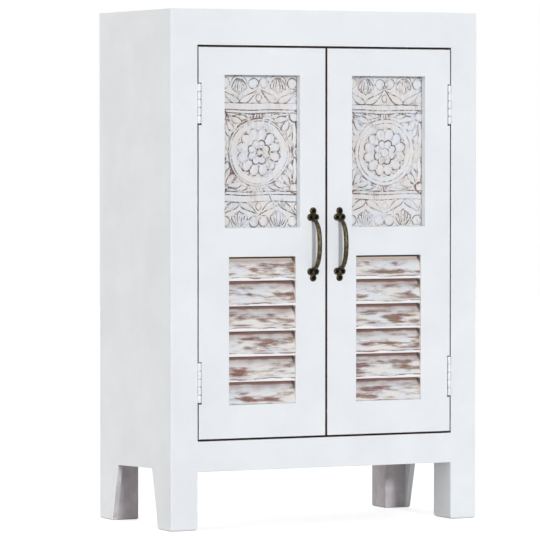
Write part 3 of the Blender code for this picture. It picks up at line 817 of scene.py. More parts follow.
def make_case():
    """The painted case as one skin, with its joints filled by the paint."""
    boxes = [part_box(node) for node in CASE_BOARDS if "_leg_" not in node]
    rear_foot = CASE_BOX[1].y - FOOT_DEPTH
    for side in SIDES:
        boxes += front_leg(side)
        low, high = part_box(f"back_leg_{side}")
        boxes.append((Vector((low.x, rear_foot + HALF_GAP, low.z)), high))
    skin = filled([grown(box, HALF_GAP) for box in boxes], *CASE_BOX)
    finishes = ("white_paint", "inside_paint", "rubbed_edge", "bare_edge", "thin_grey")
    case = shaped("painted_case", skin, finishes, smooth=False)
    fitted(case, [arch(side) for side in SIDES], "DIFFERENCE")

    rail_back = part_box("top_rail")[1].y
    board_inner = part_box("side_panel_right")[0].x
    floor_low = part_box("bottom_panel")[0].z
    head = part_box("top_panel")[0].z

    def width(first, second):
        behind = min(first.y, second.y) > rear_foot - MM
        on_board = min(abs(first.x), abs(second.x)) > board_inner - MM
        if max(first.z, second.z) < MM:
            return BOARD_FOOT_ROUND if on_board or behind else FOOT_ROUND
        middle = (first + second) / 2
        if on_board and middle.z < ARCH_HEIGHT / 2 and abs(middle.x) < board_inner and not behind:
            return 0
        at_opening = middle.y < rail_back and abs(middle.x) < CASE_BOX[1].x - ARRIS
        return OPENING_ARRIS if at_opening and floor_low < middle.z < head else ARRIS

    eased(case, width, FOOT_ROUND)
    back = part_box("back_panel")
    rooms = [block(grown((back[0], back[1] + Vector((0, back[1].y, 0))), HALF_GAP))]
    for side in SIDES:
        rooms += hinge_beds(side, "frame_leaf")
    fitted(case, rooms, "DIFFERENCE")
    evened(case)

    def finish_at(place, normal):
        if place.y > CASE_BOX[1].y - ARRIS:
            return "white_paint"
        if abs(place.x) < CASE_BOX[1].x - 3 * ARRIS and floor_low < place.z < head + MM:
            if place.y > rail_back - ARRIS:
                return "inside_paint"
            # Painted shade in the door gaps: the rail faces above and below the doors take the dark bare
            # edge, and the opening's upright faces take the rubbed edge.
            if abs(normal.z) > 0.25:
                return "bare_edge"
            return "rubbed_edge" if place.y > FRONT + OPENING_ARRIS / 2 else "white_paint"
        # Painted shade: below the case, the back feet's inner and front faces and the left side board's cut
        # faces get the grey. The right side board's cut faces stay white.
        inward = abs(place.x) < board_inner - MM or normal.y < -0.9
        if inward and place.z < floor_low and place.y > 0:
            return "thin_grey" if place.x < board_inner - MM else "white_paint"
        # Painted contact shadow: the lowest strip of each foot is grey.
        return "thin_grey" if place.z < FOOT_CONTACT_SHADE else "white_paint"

    painted(case, finishes, finish_at)
    return worn_by(case, "case", "white_paint", *CASE_BOARDS)


def door_nodes(side, *parts):
    return [f"door_{side}_{part}" for part in parts]


def hinge_axis(side):
    joint = next(joint for joint in frame["joints"] if joint["child"] == f"{side}_door")
    return Vector(joint["pos_m"])


def knuckle_hollow(side, level):
    """The round hollow in the door's corner that a hinge's barrel turns in, wider past the barrel's ends."""
    low, high = around(f"{side}_{level}_hinge_pin")
    snug, wide = KNUCKLE_RADIUS + HOLLOW_ROOM, KNUCKLE_RADIUS + HOLLOW_END_ROOM
    axis = hinge_axis(side)
    profile = [(wide, low.z - BELOW_BARREL), (wide, low.z), (snug, low.z),
               (snug, high.z), (wide, high.z), (wide, high.z + ABOVE_BARREL)]
    return turned(profile, (axis.x, axis.y, 0), 48)


def make_door(side):
    """One door's frame as one skin, rubbed to the wood at its outer edges and where its hinges turn, which
    also paints the shade in its gaps and hinge hollows.
    """
    name = f"door_{side}"
    nodes = door_nodes(side, *DOOR_BOARDS)
    low, high = around(*nodes)
    skin = filled([grown(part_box(node), HALF_GAP) for node in nodes], low, high)
    finishes = ("white_paint", "rubbed_edge", "opening_cream", "bare_edge")
    door = shaped(f"{name}_frame", skin, finishes, smooth=False)
    closing_x = high.x if SIDES[side] < 0 else low.x

    def width(first, second):
        at_closing = all(abs(point.x - closing_x) < ARRIS for point in (first, second))
        behind = min(first.y, second.y) > high.y - ARRIS
        if at_closing:
            return CLOSING_BEVEL if behind else CLOSING_ARRIS
        return DOOR_ARRIS

    eased(door, width, CLOSING_BEVEL)
    panel_low, panel_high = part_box(f"{name}_carved_panel")
    rooms = [block(grown((panel_low, panel_high + Vector((0, high.y - low.y, 0))), HALF_GAP * 2))]
    rooms += hinge_beds(side, "door_leaf")
    rooms += [knuckle_hollow(side, level) for level in HINGE_LEVELS]
    fitted(door, rooms, "DIFFERENCE")
    evened(door)
    axis = hinge_axis(side)
    pins = [around(f"{side}_{level}_hinge_pin") for level in HINGE_LEVELS]

    def finish_at(place, normal):
        from_axis = math.hypot(place.x - axis.x, place.y - axis.y)
        at_pin = any(pin[0].z - BELOW_BARREL - MM < place.z < pin[1].z + ABOVE_BARREL + MM for pin in pins)
        edge = min(place.x - low.x, high.x - place.x, place.z - low.z, high.z - place.z)
        at_hinge = abs(place.x - closing_x) > (high.x - low.x) - DOOR_ARRIS
        # Painted shade in the gaps: the hinge-side edge takes the rubbed edge, and the closing, top and
        # bottom edges take the dark bare edge, which is also their wood.
        if at_hinge and edge < DOOR_ARRIS / 3 and place.y > FRONT + DOOR_ARRIS / 2:
            return "rubbed_edge"
        if not at_hinge and edge < CLOSING_ARRIS and normal.y > -0.98:
            return "bare_edge"
        # Painted shade in the hinge hollow: its wall is rubbed, and dark past the barrel's ends.
        if at_pin and from_axis < KNUCKLE_RADIUS + HOLLOW_END_ROOM:
            past_barrel = from_axis > KNUCKLE_RADIUS + 1.2 * HOLLOW_ROOM or abs(normal.z) > 0.9
            return "bare_edge" if past_barrel else "rubbed_edge"
        beside_louvres = abs(normal.x) > 0.9 and edge > MM and place.z < LOUVRE_TOP
        return "opening_cream" if beside_louvres else "white_paint"

    painted(door, finishes, finish_at)
    return worn_by(door, f"{side}_door", "white_paint", *nodes)


class Relief:
    """Heights of a carving over a grid, in millimetres above its ground, from shapes given as distances."""

    def __init__(self, across, up):
        self.across = across
        self.up = up
        self.height = np.where(np.abs(up) < FIELD_HALF, 0.5, 1.9)
        self.thin_wash_and_shade = np.zeros_like(up)

    def circle(self, x, z, radius):
        return np.hypot(self.across - x, self.up - z) - radius

    def leaf(self, root, tip, half_width, bend=0.0, lean=0.0):
        """A pointed leaf between two points, bowed to its left, with its belly leaning to its tip."""
        root, tip = np.array(root, float), np.array(tip, float)
        half = np.hypot(*(tip - root)) / 2
        way = (tip - root) / (2 * half)
        middle = (root + tip) / 2
        across, up = self.across - middle[0], self.up - middle[1]
        along = across * way[0] + up * way[1]
        aside = up * way[0] - across * way[1]
        share = 1 - np.clip(along / half, -1.2, 1.2) ** 2
        aside = aside - bend * share
        along = along - lean * half * share
        radius = (half ** 2 + half_width ** 2) / (2 * half_width)
        return np.hypot(along, np.abs(aside) + radius - half_width) - radius

    def petals(self, count, start, end, root_width, tip_width):
        """A ring of petals round the middle, each widening from its root to its round tip."""
        radius = np.hypot(self.across, self.up)
        step = math.tau / count
        angle = np.arctan2(self.across, self.up) % step - step / 2
        along, aside = radius * np.cos(angle), radius * np.sin(angle)
        share = np.clip((along - start) / (end - start), 0, 1)
        middle = start + share * (end - start)
        return np.hypot(along - middle, aside) - (root_width + share * (tip_width - root_width))

    def strip(self, low, high):
        return np.abs(self.up - (low + high) / 2) - abs(high - low) / 2

    def lay(self, distance, height, rounding, edge=1.1, level=0.7):
        """Lays a swelling shape over what is there, with a cut round its outline."""
        around = np.clip(distance / edge, 0, 1)
        self.height = np.minimum(self.height, level + (self.height - level) * around ** 1.5)
        share = np.clip(-distance / rounding, 0, 1)
        swell = level + (height - level) * np.sqrt(1 - (1 - share) ** 2)
        self.height = np.where(distance < 0, swell, self.height)

    def fill(self, distance, level):
        """Fills the cuts within a shape up to a level."""
        self.height = np.where(distance < 0, np.maximum(self.height, level), self.height)

    def groove(self, distance, depth, width):
        """A cut along the line where a distance is nothing."""
        self.height = self.height - depth * np.exp(-(distance / width) ** 2)

    def bare(self, distance, share, width):
        """Darkens the wash along the line where a distance is nothing: wash rubbed thin, and painted shade in
        the dish round the flower and beside the bosses.
        """
        self.thin_wash_and_shade = np.maximum(self.thin_wash_and_shade, share * np.exp(-(distance / width) ** 2))

    def line(self, start, end, depth, width):
        """A straight cut between two points."""
        start, end = np.array(start, float), np.array(end, float)
        way = end - start
        share = ((self.across - start[0]) * way[0] + (self.up - start[1]) * way[1]) / (way @ way)
        share = np.clip(share, 0, 1)
        self.groove(np.hypot(self.across - start[0] - share * way[0], self.up - start[1] - share * way[1]),
                    depth, width)

    def rays(self, count, start, end, depth, width):
        """Cuts between the petals of a ring, from the middle outwards."""
        for step in range(count):
            turn = math.tau * step / count
            way = np.array((math.sin(turn), math.cos(turn)))
            self.line(way * start, way * end, depth, width)


def blurred(heights, reach):
    """The mean height round each point, by a box blur twice over."""
    for turn in range(2):
        for axis in (0, 1):
            room = [(0, 0), (0, 0)]
            room[axis] = (reach + 1, reach)
            padded = np.pad(heights, room, "edge")
            total = np.cumsum(padded, axis=axis)
            count = 2 * reach + 1
            if axis == 0:
                heights = (total[count:] - total[:-count]) / count
            else:
                heights = (total[:, count:] - total[:, :-count]) / count
    return heights


def carve_medallion(relief, side):
    """A twelve-petalled flower in a dished band and a ring. Only the left one's boss is hollowed round."""
    groove = RING_GROOVE[side]
    relief.lay(relief.circle(0, 0, RING_REACH), 3.0, 1.6, 2.0, 0.0)
    relief.groove(relief.circle(0, 0, groove), 1.4, 0.9)
    radius = np.hypot(relief.across, relief.up)
    dish = np.clip((radius - BAND_INNER) / (groove - BAND_INNER), 0, 1)
    relief.height = np.where(radius < groove, relief.height - 0.9 * (1 - dish), relief.height)
    flower = relief.petals(12, 18, FLOWER_REACH - 8.2, 4.6, 8.2)
    relief.groove(relief.circle(0, 0, BAND_INNER), 0.9, 0.8)
    # Painted shade in the dish round the flower.
    relief.bare(np.where((flower > 0) & (radius < groove), flower, RING_REACH), 0.28, 3.6)
    relief.lay(flower, 3.6, 4.4, 1.9, 0.0)
    relief.fill(relief.circle(0, 0, FLOWER_REACH - 7), 2.3)
    relief.rays(12, HEART_REACH, FLOWER_REACH - 8, 0.55, 0.7)
    relief.lay(relief.petals(8, 8, HEART_REACH - 6.0, 3.4, 6.2), 4.0, 3.2, 2.1, 0.0)
    relief.fill(relief.circle(0, 0, HEART_REACH - 5), 3.2)
    relief.rays(8, BOSS_RADIUS, HEART_REACH - 4, 0.5, 0.6)
    relief.lay(relief.circle(0, 0, BOSS_RADIUS), 3.9, 2.0, 1.1, 1.2)
    if side == "left":
        relief.groove(relief.circle(0, 0, BOSS_RADIUS - 2.0), 2.4, 1.6)
        relief.bare(relief.circle(0, 0, BOSS_RADIUS - 2.0), 0.75, 1.7)


def carve_palmette(relief, x, end):
    """A fan of lobes that hangs from the edge of the panel."""
    relief.lay(relief.circle(x, end * 119, 15.5), 2.4, 1.6, 1.2)
    for step in (-2, 2, -1, 1, 0):
        length = 27 - 4.6 * abs(step)
        root = (x + step * 2.6, end * 128)
        tip = (x + step * 7.0, end * (128 - length))
        relief.lay(relief.leaf(root, tip, 4.0, -end * step * 0.8, 0.15), 3.1, 2.6, 1.2, 0.3)
        relief.line(root, (tip[0], tip[1] + end * 9), 1.0, 0.8)


def carve_garland(relief, end, low):
    """A zigzag of long leaves along one end of the panel, with pairs of bosses and hanging palmettes."""
    for wave in (-1.5, -0.5, 0.5, 1.5):
        carve_palmette(relief, 2 * GARLAND_HALF_WAVE * wave, end)
    for wave in (-1, 0, 1):
        peak = 2 * GARLAND_HALF_WAVE * wave
        for way in (-1, 1):
            relief.lay(relief.circle(peak + way * 9.6, end * 120.0, 9.2), 3.4, 4.6, 1.4, 0.4)
        relief.lay(relief.leaf((peak, end * 88), (peak, end * 101), 5.2), 2.7, 2.4, 1.1, 0.6)
        for way in (-1, 1):
            root, tip = (peak, end * GARLAND_HIGH), (peak + way * GARLAND_HALF_WAVE, end * (low + 2.0))
            leaf = relief.leaf(root, tip, 5.8, -way * end * 3.0, 0.5)
            relief.lay(leaf, 3.7, 3.0, 1.6, 0.2)
            relief.groove(leaf + 2.9, 0.7, 0.6)


def carve_corner(relief, way, end):
    """A boss in a corner of the field, and the leaves that spring from it round the medallion."""
    leaves = (((71, 56), (70.5, 6), 5.4, 1.0, 0), ((68, 66.5), (8, 64.6), 5.0, -0.6, 0.3),
              ((62, 24), (61.5, 2), 3.6, 1.4, 0), ((66, 44), (61.0, 16), 4.6, 1.6, 0.2),
              ((54, 60), (21, 60.6), 4.2, 1.4, 0.2), ((60, 58), (31, 52.5), 5.2, 1.8, 0.2),
              ((63, 52), (56.0, 27), 4.2, -1.0, 0.2), ((61, 57), (46.5, 38), 5.4, -1.4, 0.25))
    for root, tip, half_width, bend, lean in leaves:
        root, tip = ((way * x, end * z) for x, z in (root, tip))
        relief.lay(relief.leaf(root, tip, half_width, -way * end * bend, lean), 3.3, 3.0, 1.3, 0.4)
    boss = relief.circle(way * 70.6, end * 62.6, 8.6)
    relief.lay(boss, 3.4, 3.4, 1.7, 0.2)
    relief.bare(boss - 0.7, 1.4, 1.5)


def carved(across, up, seed, side):
    """The whole carving of one panel. The two differ as handwork does, and only the left one is cracked."""
    drift = np.random.default_rng(seed).uniform(0, math.tau, 8)
    sway_x = 0.8 * np.sin(up / 17 + drift[0]) + 0.5 * np.sin(across / 9 + up / 23 + drift[1])
    sway_z = 0.7 * np.sin(across / 15 + drift[2]) + 0.5 * np.sin(up / 11 - across / 19 + drift[3])
    relief = Relief(across + sway_x, up + sway_z + CARVING_DROP)
    for end in (-1, 1):
        for way in (-1, 1):
            carve_corner(relief, way, end)
        for step in (-1, 1, 0):
            relief.lay(relief.leaf((step * 3, end * 70), (step * 7, end * 59.5), 2.0), 2.8, 1.6, 0.8)
        carve_garland(relief, end, GARLAND_LOW[side])
        relief.lay(relief.strip(end * FILLET_HALF, end * GARLAND_LOW[side]), 3.1, 1.2)
        relief.lay(relief.strip(end * FIELD_HALF, end * FILLET_HALF), 3.4, 1.6)
    for number in range(-7, 8):
        if abs(number) > 2:
            relief.line((number * 6.1, FIELD_HALF), (number * 6.1, FIELD_HALF - 3.4), 1.2, 0.8)
    for way in (-1, 1):
        relief.lay(relief.circle(way * 75, 0, 9), 3.0, 3.0)
        relief.groove(relief.circle(way * 75, 0, 4.6), 1.2, 0.8)
    carve_medallion(relief, side)
    if side == "left":
        relief.line((18, -FIELD_HALF), (27, -92), 1.8, 0.7)
        relief.line((27, -92), (35, -109), 1.4, 0.7)
    dents = sum(0.06 * np.sin(across / size + up / (size * 1.7) + drift[4 + step])
                for step, size in enumerate((2.3, 3.1, 4.7, 7.9)))
    relief.height = relief.height + dents
    return relief


def make_carving(side, seed):
    """A carved panel: a fine sheet of carving in front, set in a plain board."""
    name = f"door_{side}_carved_panel"
    low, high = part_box(name)
    opening_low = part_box(f"door_{side}_middle_rail")[1].z - CARVING_LAP
    opening_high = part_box(f"door_{side}_top_rail")[0].z + CARVING_LAP
    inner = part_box(f"door_{side}_meeting_stile")
    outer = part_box(f"door_{side}_hinge_stile")
    edges = sorted((inner[0].x, inner[1].x, outer[0].x, outer[1].x))[1:3]
    xs = np.arange(edges[0] - CARVING_LAP, edges[1] + CARVING_LAP, CARVING_STEP)
    zs = np.arange(opening_low, opening_high, CARVING_STEP)
    across, up = np.meshgrid((xs - xs.mean()) / MM, (zs - zs.mean()) / MM)
    relief = carved(across, up, seed, side)
    heights = relief.height
    reach = round(CUT_REACH * MM / CARVING_STEP)
    cut = np.clip((blurred(heights, reach) - heights) / CUT_FULL, -1, 1)
    cut = np.maximum(cut, np.clip(1 - heights / CUT_FULL, 0, 1) * GROUND_SHOWS)
    # Where the carving marks painted shade, the wash darkens as in the cuts.
    cut = np.maximum(cut, relief.thin_wash_and_shade) * WEAR[side]
    depth = np.clip(GROUND_DEPTH - heights, 0, GROUND_DEPTH + 0.5) * MM
    rows, columns = heights.shape
    xs = np.concatenate(([low.x], xs, [high.x]))
    zs = np.concatenate(([low.z], zs, [high.z]))
    depth = np.pad(depth, 1, "edge")
    cut = np.pad(cut, 1, "edge")
    rows, columns = rows + 2, columns + 2
    grid_x, grid_z = np.meshgrid(xs, zs)
    points = np.stack([grid_x, low.y + depth, grid_z], -1).reshape(-1, 3)
    form = bmesh.new()
    reading = form.verts.layers.float.new("cut")
    verts = [form.verts.new(point) for point in points.tolist()]
    for vert, value in zip(verts, cut.reshape(-1).tolist()):
        vert[reading] = value
    for row in range(rows - 1):
        for column in range(columns - 1):
            start = row * columns + column
            above = start + columns
            form.faces.new((verts[start], verts[start + 1], verts[above + 1], verts[above]))
    rim = [verts[column] for column in range(columns)]
    rim += [verts[row * columns + columns - 1] for row in range(1, rows)]
    rim += [verts[(rows - 1) * columns + column] for column in range(columns - 2, -1, -1)]
    rim += [verts[row * columns] for row in range(rows - 2, 0, -1)]
    backs = [form.verts.new((vert.co.x, high.y, vert.co.z)) for vert in rim]
    for step in range(len(rim)):
        after = (step + 1) % len(rim)
        form.faces.new((rim[after], rim[step], backs[step], backs[after]))
    form.faces.new(reversed(backs)).material_index = 1
    bmesh.ops.recalc_face_normals(form, faces=form.faces)
    panel = shaped(name + "_relief", form, ("carved_whitewash", "inside_paint"), smooth=False)
    panel.data.shade_smooth()
    panel.data.set_sharp_from_angle(angle=math.radians(60))
    return worn_by(panel, f"{side}_door", "carved_whitewash", name)


def slat_form(start, end):
    """One slat at the height of nothing, lying along X, with its readings for the paint."""
    top = SLAT_PITCH + SLAT_LAP
    thick = SLAT_THICK * math.hypot(1, SLAT_SLOPE)
    outline = [(SLAT_SETBACK + SLAT_ARRIS, 0, 0), (SLAT_SETBACK, SLAT_ARRIS, 0)]
    # Points up the front: the rise above the lip in millimetres, and how far each follows the lip's wander
    front_rise = (top - SLAT_ARRIS - SLAT_LIP) / MM
    front = ((0, 1), (1.3, 0.85), (3.2, 0.6), (6, 0.3), (12, 0), (20, 0), (30, 0), (front_rise, 0))
    outline += [(SLAT_SETBACK + rise * MM * SLAT_SLOPE, SLAT_LIP + rise * MM, follow)
                for rise, follow in front]
    near_top = SLAT_SETBACK + (top - SLAT_LIP) * SLAT_SLOPE
    outline += [(near_top + SLAT_ARRIS, top, 0), (near_top + thick - SLAT_ARRIS, top, 0),
                (near_top + thick, top - SLAT_ARRIS, 0), (SLAT_SETBACK + thick, SLAT_LIP, 0),
                (SLAT_SETBACK + thick - SLAT_ARRIS, 0, 0)]
    form = bmesh.new()
    arris = form.verts.layers.float.new("arris")
    up = form.verts.layers.float.new("up")
    # How near each end a point is, which the paint uses for the painted shade in the slats' corners.
    near_end = form.verts.layers.float.new("end")
    rings = []
    for step in range(SLAT_STATIONS + 1):
        x = start + (end - start) * step / SLAT_STATIONS
        ring = []
        for number, (depth, z, worn) in enumerate(outline):
            vert = form.verts.new((x, FRONT + depth, z))
            vert[arris] = worn
            vert[up] = z / SLAT_PITCH if number < len(outline) - BACK_POINTS else SLAT_BACK_TONE
            vert[near_end] = min(1, min(x - start, end - x) / SLAT_CORNER)
            ring.append(vert)
        rings.append(ring)
    return skinned(form, rings)


def louvre_growth():
    """Repeats a slat down a door and lets the edge of each lip wander as if planed by hand."""
    growth = Growth("louvres", {"Slats": "Int", "Pitch": "Float", "First": "Float", "Wander": "Float",
                                "Slope": "Float", "Sill": "Float"})
    sizes = growth.sizes
    drop = growth.add("ShaderNodeCombineXYZ", {"Z": growth.sum("MULTIPLY", sizes["Pitch"], -1.0)}).outputs[0]
    start = growth.add("ShaderNodeCombineXYZ", {"Z": sizes["First"]}).outputs[0]
    row = growth.add("GeometryNodeMeshLine",
                     {"Count": sizes["Slats"], "Start Location": start, "Offset": drop}).outputs[0]
    slats = growth.add("GeometryNodeInstanceOnPoints",
                       {"Points": row, "Instance": sizes["Geometry"]}).outputs[0]
    real = growth.add("GeometryNodeRealizeInstances", {"Geometry": slats}).outputs[0]
    place = growth.add("GeometryNodeInputPosition").outputs[0]
    parts = growth.add("ShaderNodeSeparateXYZ", {"Vector": place}).outputs
    level = growth.sum("MULTIPLY", growth.sum("FLOOR", growth.sum("DIVIDE", parts["Z"], sizes["Pitch"])), 7.3)
    along = growth.add("ShaderNodeCombineXYZ", {"X": growth.sum("MULTIPLY", parts["X"], 22.0), "Y": level})
    noise = growth.add("ShaderNodeTexNoise", {"Vector": along.outputs[0], "Scale": 1.0, "Detail": 1.0})
    swing = growth.add("ShaderNodeMapRange", {"Value": noise.outputs[0], "From Min": 0.32, "From Max": 0.68,
                                              "To Min": 0.0, "To Max": sizes["Wander"]}).outputs[0]
    arris = growth.add("GeometryNodeInputNamedAttribute", {"Name": "arris"}, data_type="FLOAT").outputs[0]
    rise = growth.sum("MULTIPLY", swing, arris)
    shift = growth.add("ShaderNodeCombineXYZ", {"Y": growth.sum("MULTIPLY", rise, sizes["Slope"]), "Z": rise})
    moved = growth.add("GeometryNodeSetPosition", {"Geometry": real, "Offset": shift.outputs[0]}).outputs[0]
    place = growth.add("GeometryNodeInputPosition").outputs[0]
    parts = growth.add("ShaderNodeSeparateXYZ", {"Vector": place}).outputs
    height = growth.sum("MAXIMUM", parts["Z"], sizes["Sill"])
    kept = growth.add("ShaderNodeCombineXYZ", {"X": parts["X"], "Y": parts["Y"], "Z": height}).outputs[0]
    trimmed = growth.add("GeometryNodeSetPosition", {"Geometry": moved, "Position": kept}).outputs[0]
    growth.close(trimmed, FINISHES["worn_slat_paint"])
    return growth


def make_louvres(side, growth):
    """A door's row of slats, kept within the room that the frame leaves it."""
    nodes = door_nodes(side, *(f"slat_{number + 1}" for number in range(SLATS)))
    low, high = around(*nodes)
    slat = shaped(f"door_{side}_louvres", slat_form(low.x, high.x), smooth=False)
    opening_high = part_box(f"door_{side}_middle_rail")[0].z
    first = opening_high + SLAT_OVER - SLAT_PITCH
    growth.grow(slat, {"Slats": SLATS, "Pitch": SLAT_PITCH, "First": first, "Wander": LIP_WANDER,
                       "Slope": SLAT_SLOPE, "Sill": low.z})
    for vert in slat.data.vertices:
        vert.co.z = min(vert.co.z, high.z)
    slat.data.shade_smooth()
    slat.data.set_sharp_from_angle(angle=SHARP)
    return worn_by(slat, f"{side}_door", "worn_slat_paint", *nodes)


def grip_form(x, low, high):
    """The bowed grip. Its ends are sunk in the rosettes."""
    steps, sides = 56, 24
    level, half = (low + high) / 2, (high - low) / 2
    root = ROSETTE_THICK / 2
    centres = []
    for step in range(steps + 1):
        turn = math.pi * step / steps
        height = -math.cos(turn) * half
        share = abs(height) / half
        out = root + (GRIP_STAND - root) * max(0.0, 1 - share ** GRIP_FULLNESS) ** (1 / GRIP_FULLNESS)
        radius = (GRIP_END_THICK + (GRIP_THICK - GRIP_END_THICK) * math.sin(turn)) / 2
        centres.append((Vector((x, FRONT - out, level + height)), radius))
    form = bmesh.new()
    rings = []
    across = Vector((1, 0, 0))
    for step, (centre, radius) in enumerate(centres):
        along = centres[min(step + 1, steps)][0] - centres[max(step - 1, 0)][0]
        outward = across.cross(along.normalized())
        rings.append([form.verts.new(centre + radius * (math.cos(turn) * outward + math.sin(turn) * across))
                      for turn in (math.tau * count / sides for count in range(sides))])
    return skinned(form, rings)


def lobes():
    """The three round lobes of a rosette, as (across, up, radius) from its middle."""
    return ((0, TIP_RISE / 2, TIP_RADIUS), (LOBE_SPREAD, -TIP_RISE / 2, LOBE_RADIUS),
            (-LOBE_SPREAD, -TIP_RISE / 2, LOBE_RADIUS))


def rosette_form(x, level, upward):
    """A cast plate of three lobes, each domed and cupped for its screw."""
    sectors, rings = 120, 16
    form = bmesh.new()

    def reach(turn):
        way = Vector((math.cos(turn), math.sin(turn)))
        far = LOBE_SPREAD
        for across, up, radius in lobes():
            centre = Vector((across, up))
            along = way.dot(centre)
            inside = radius ** 2 - (centre.length_squared - along ** 2)
            if inside > 0:
                far = max(far, along + math.sqrt(inside))
        return far

    def relief(across, up):
        height = 0.0
        for centre_x, centre_z, radius in lobes():
            away = math.hypot(across - centre_x, up - centre_z) / radius
            if away < 1:
                dome = math.sqrt(1 - away ** 2) ** 0.8
                cup = CUP_DEPTH * max(0.0, 1 - (away / CUP_REACH) ** 4)
                height = max(height, dome - cup)
        return max(ROSETTE_RIM, height)

    columns = []
    middle = form.verts.new((x, FRONT - ROSETTE_THICK * relief(0, 0), level))
    for sector in range(sectors):
        turn = math.tau * (sector + 0.5) / sectors
        far = reach(turn)
        column = []
        for ring in range(1, rings + 1):
            away = far * ring / rings
            across, up = away * math.cos(turn), away * math.sin(turn)
            height = ROSETTE_RIM if ring == rings else relief(across, up)
            column.append(form.verts.new((x + across, FRONT - ROSETTE_THICK * height, level + upward * up)))
        column.append(form.verts.new((column[-1].co.x, FRONT, column[-1].co.z)))
        columns.append(column)
    for sector in range(sectors):
        first, second = columns[sector], columns[(sector + 1) % sectors]
        form.faces.new((middle, first[0], second[0]))
        for ring in range(len(first) - 1):
            form.faces.new((first[ring], first[ring + 1], second[ring + 1], second[ring]))
    form.faces.new([column[-1] for column in columns])
    bmesh.ops.recalc_face_normals(form, faces=form.faces)
    return form


def make_handle(side):
    """A bow handle with a rosette at each end."""
    name = f"door_{side}_handle"
    low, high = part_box(name)
    x = (low.x + high.x) / 2
    rosette_middle = TIP_RISE / 2 + TIP_RADIUS
    levels = ((-1, low.z + rosette_middle), (1, high.z - rosette_middle))
    grip_ends = [level - upward * TIP_RISE for upward, level in levels]
    forms = [grip_form(x, *grip_ends)] + [rosette_form(x, level, upward) for upward, level in levels]
    handle = shaped(f"{name}_cast", joined(forms), ("antique_bronze",))
    places = []
    for upward, level in levels:
        for across, up, _ in lobes():
            seat = FRONT - SCREW_SEAT * ROSETTE_THICK
            places.append(((x + across, seat, level + upward * up), (0, -1, 0)))
    worn_by(handle, f"{side}_door", "antique_bronze", name)
    make_screws(f"{name}_screws", places, SCREW_RADIUS, "dark_screw", f"{side}_door", "antique_bronze")
    return handle


def screw_head(radius, finish, flat):
    """A screw head with a cross cut in it, pointing up along Z. A flat one is sunk in its hole."""
    if flat:
        rise, slot_depth = 0.0, radius * 0.24
        profile = [(radius * 0.66, -radius * 0.38), (radius, -radius * 0.04), (radius * 0.96, 0.0)]
    else:
        rise = radius * 0.62
        slot_depth = rise * 0.55
        steps = 6
        profile = [(radius, -radius * 0.3)]
        profile += [(radius * math.cos(turn), rise * math.sin(turn))
                    for turn in (math.pi / 2 * step / steps for step in range(steps))]
    head = shaped("screw", turned(profile, (0, 0, 0), 24), (finish,))
    slot_half, slot_long = radius * 0.11, radius * 0.62
    cuts = []
    for long, short in ((slot_long, slot_half), (slot_half, slot_long)):
        cuts.append(block((Vector((-long, -short, rise - slot_depth)), Vector((long, short, rise + radius)))))
    fitted(head, cuts, "DIFFERENCE")
    return head


def countersunk(radius, facing, place):
    """The hole that a flat screw head lies in."""
    wide = radius + HOLE_ROOM
    profile = [(wide * 0.6, -2 * radius), (wide * 0.62, -radius * 0.42), (wide, 0), (wide, radius)]
    return aimed(turned(profile, (0, 0, 0), 24), facing, place)


def screw_growth(finish):
    """Sets a screw head on each point of a guide, facing out of the work, each turned its own way."""
    growth = Growth("screws_" + finish, {"Guide": "Object", "Seed": "Int"})
    guide = growth.add("GeometryNodeObjectInfo", {"Object": growth.sizes["Guide"]}).outputs["Geometry"]
    facing = growth.add("GeometryNodeInputNamedAttribute", {"Name": "facing"}, data_type="FLOAT_VECTOR")
    turn = growth.add("FunctionNodeRandomValue", {"Seed": growth.sizes["Seed"]}, data_type="FLOAT")
    turn.inputs[3].default_value = math.tau
    spin = growth.add("ShaderNodeCombineXYZ", {"Z": turn.outputs[1]}).outputs[0]
    aim = growth.add("FunctionNodeAlignRotationToVector", {"Vector": facing.outputs[0]}, axis="Z").outputs[0]
    screws = growth.add("GeometryNodeInstanceOnPoints",
                        {"Points": guide, "Instance": growth.sizes["Geometry"], "Rotation": aim}).outputs[0]
    spun = growth.add("GeometryNodeRotateInstances", {"Instances": screws, "Rotation": spin}).outputs[0]
    growth.close(spun, FINISHES[finish])
    return growth


SCREW_GROWTHS = {}


def make_screws(name, places, radius, finish, body, slot, flat=False):
    """One set of screws on one body, from the place and the facing of each."""
    guide_mesh = bpy.data.meshes.new(name + "_guide")
    guide_mesh.from_pydata([place for place, facing in places], [], [])
    facings = guide_mesh.attributes.new("facing", "FLOAT_VECTOR", "POINT")
    for value, (place, facing) in zip(facings.data, places):
        value.vector = facing
    guide = placed(name + "_guide", guide_mesh)
    if finish not in SCREW_GROWTHS:
        SCREW_GROWTHS[finish] = screw_growth(finish)
    screws = screw_head(radius, finish, flat)
    screws.name = name
    SCREW_GROWTHS[finish].grow(screws, {"Guide": guide, "Seed": len(name)})
    bpy.data.objects.remove(guide)
    screws.data.shade_smooth()
    screws.data.set_sharp_from_angle(angle=SHARP)
    return worn_by(screws, body, slot)


def barrel(x, spans):
    """Knuckles between their lower and upper ends, each with rounded rims."""
    forms = []
    for start, end in ((low + KNUCKLE_INSET, high - KNUCKLE_INSET) for low, high in spans):
        rim = [(KNUCKLE_RADIUS - KNUCKLE_EASE * (1 - math.sin(turn)), KNUCKLE_EASE * (1 - math.cos(turn)))
               for turn in (math.pi / 2 * step / 4 for step in range(5))]
        profile = [(radius, start + rise) for radius, rise in rim]
        profile += [(radius, end - rise) for radius, rise in reversed(rim)]
        forms.append(turned(profile, (x, FRONT, 0), 28))
    return forms


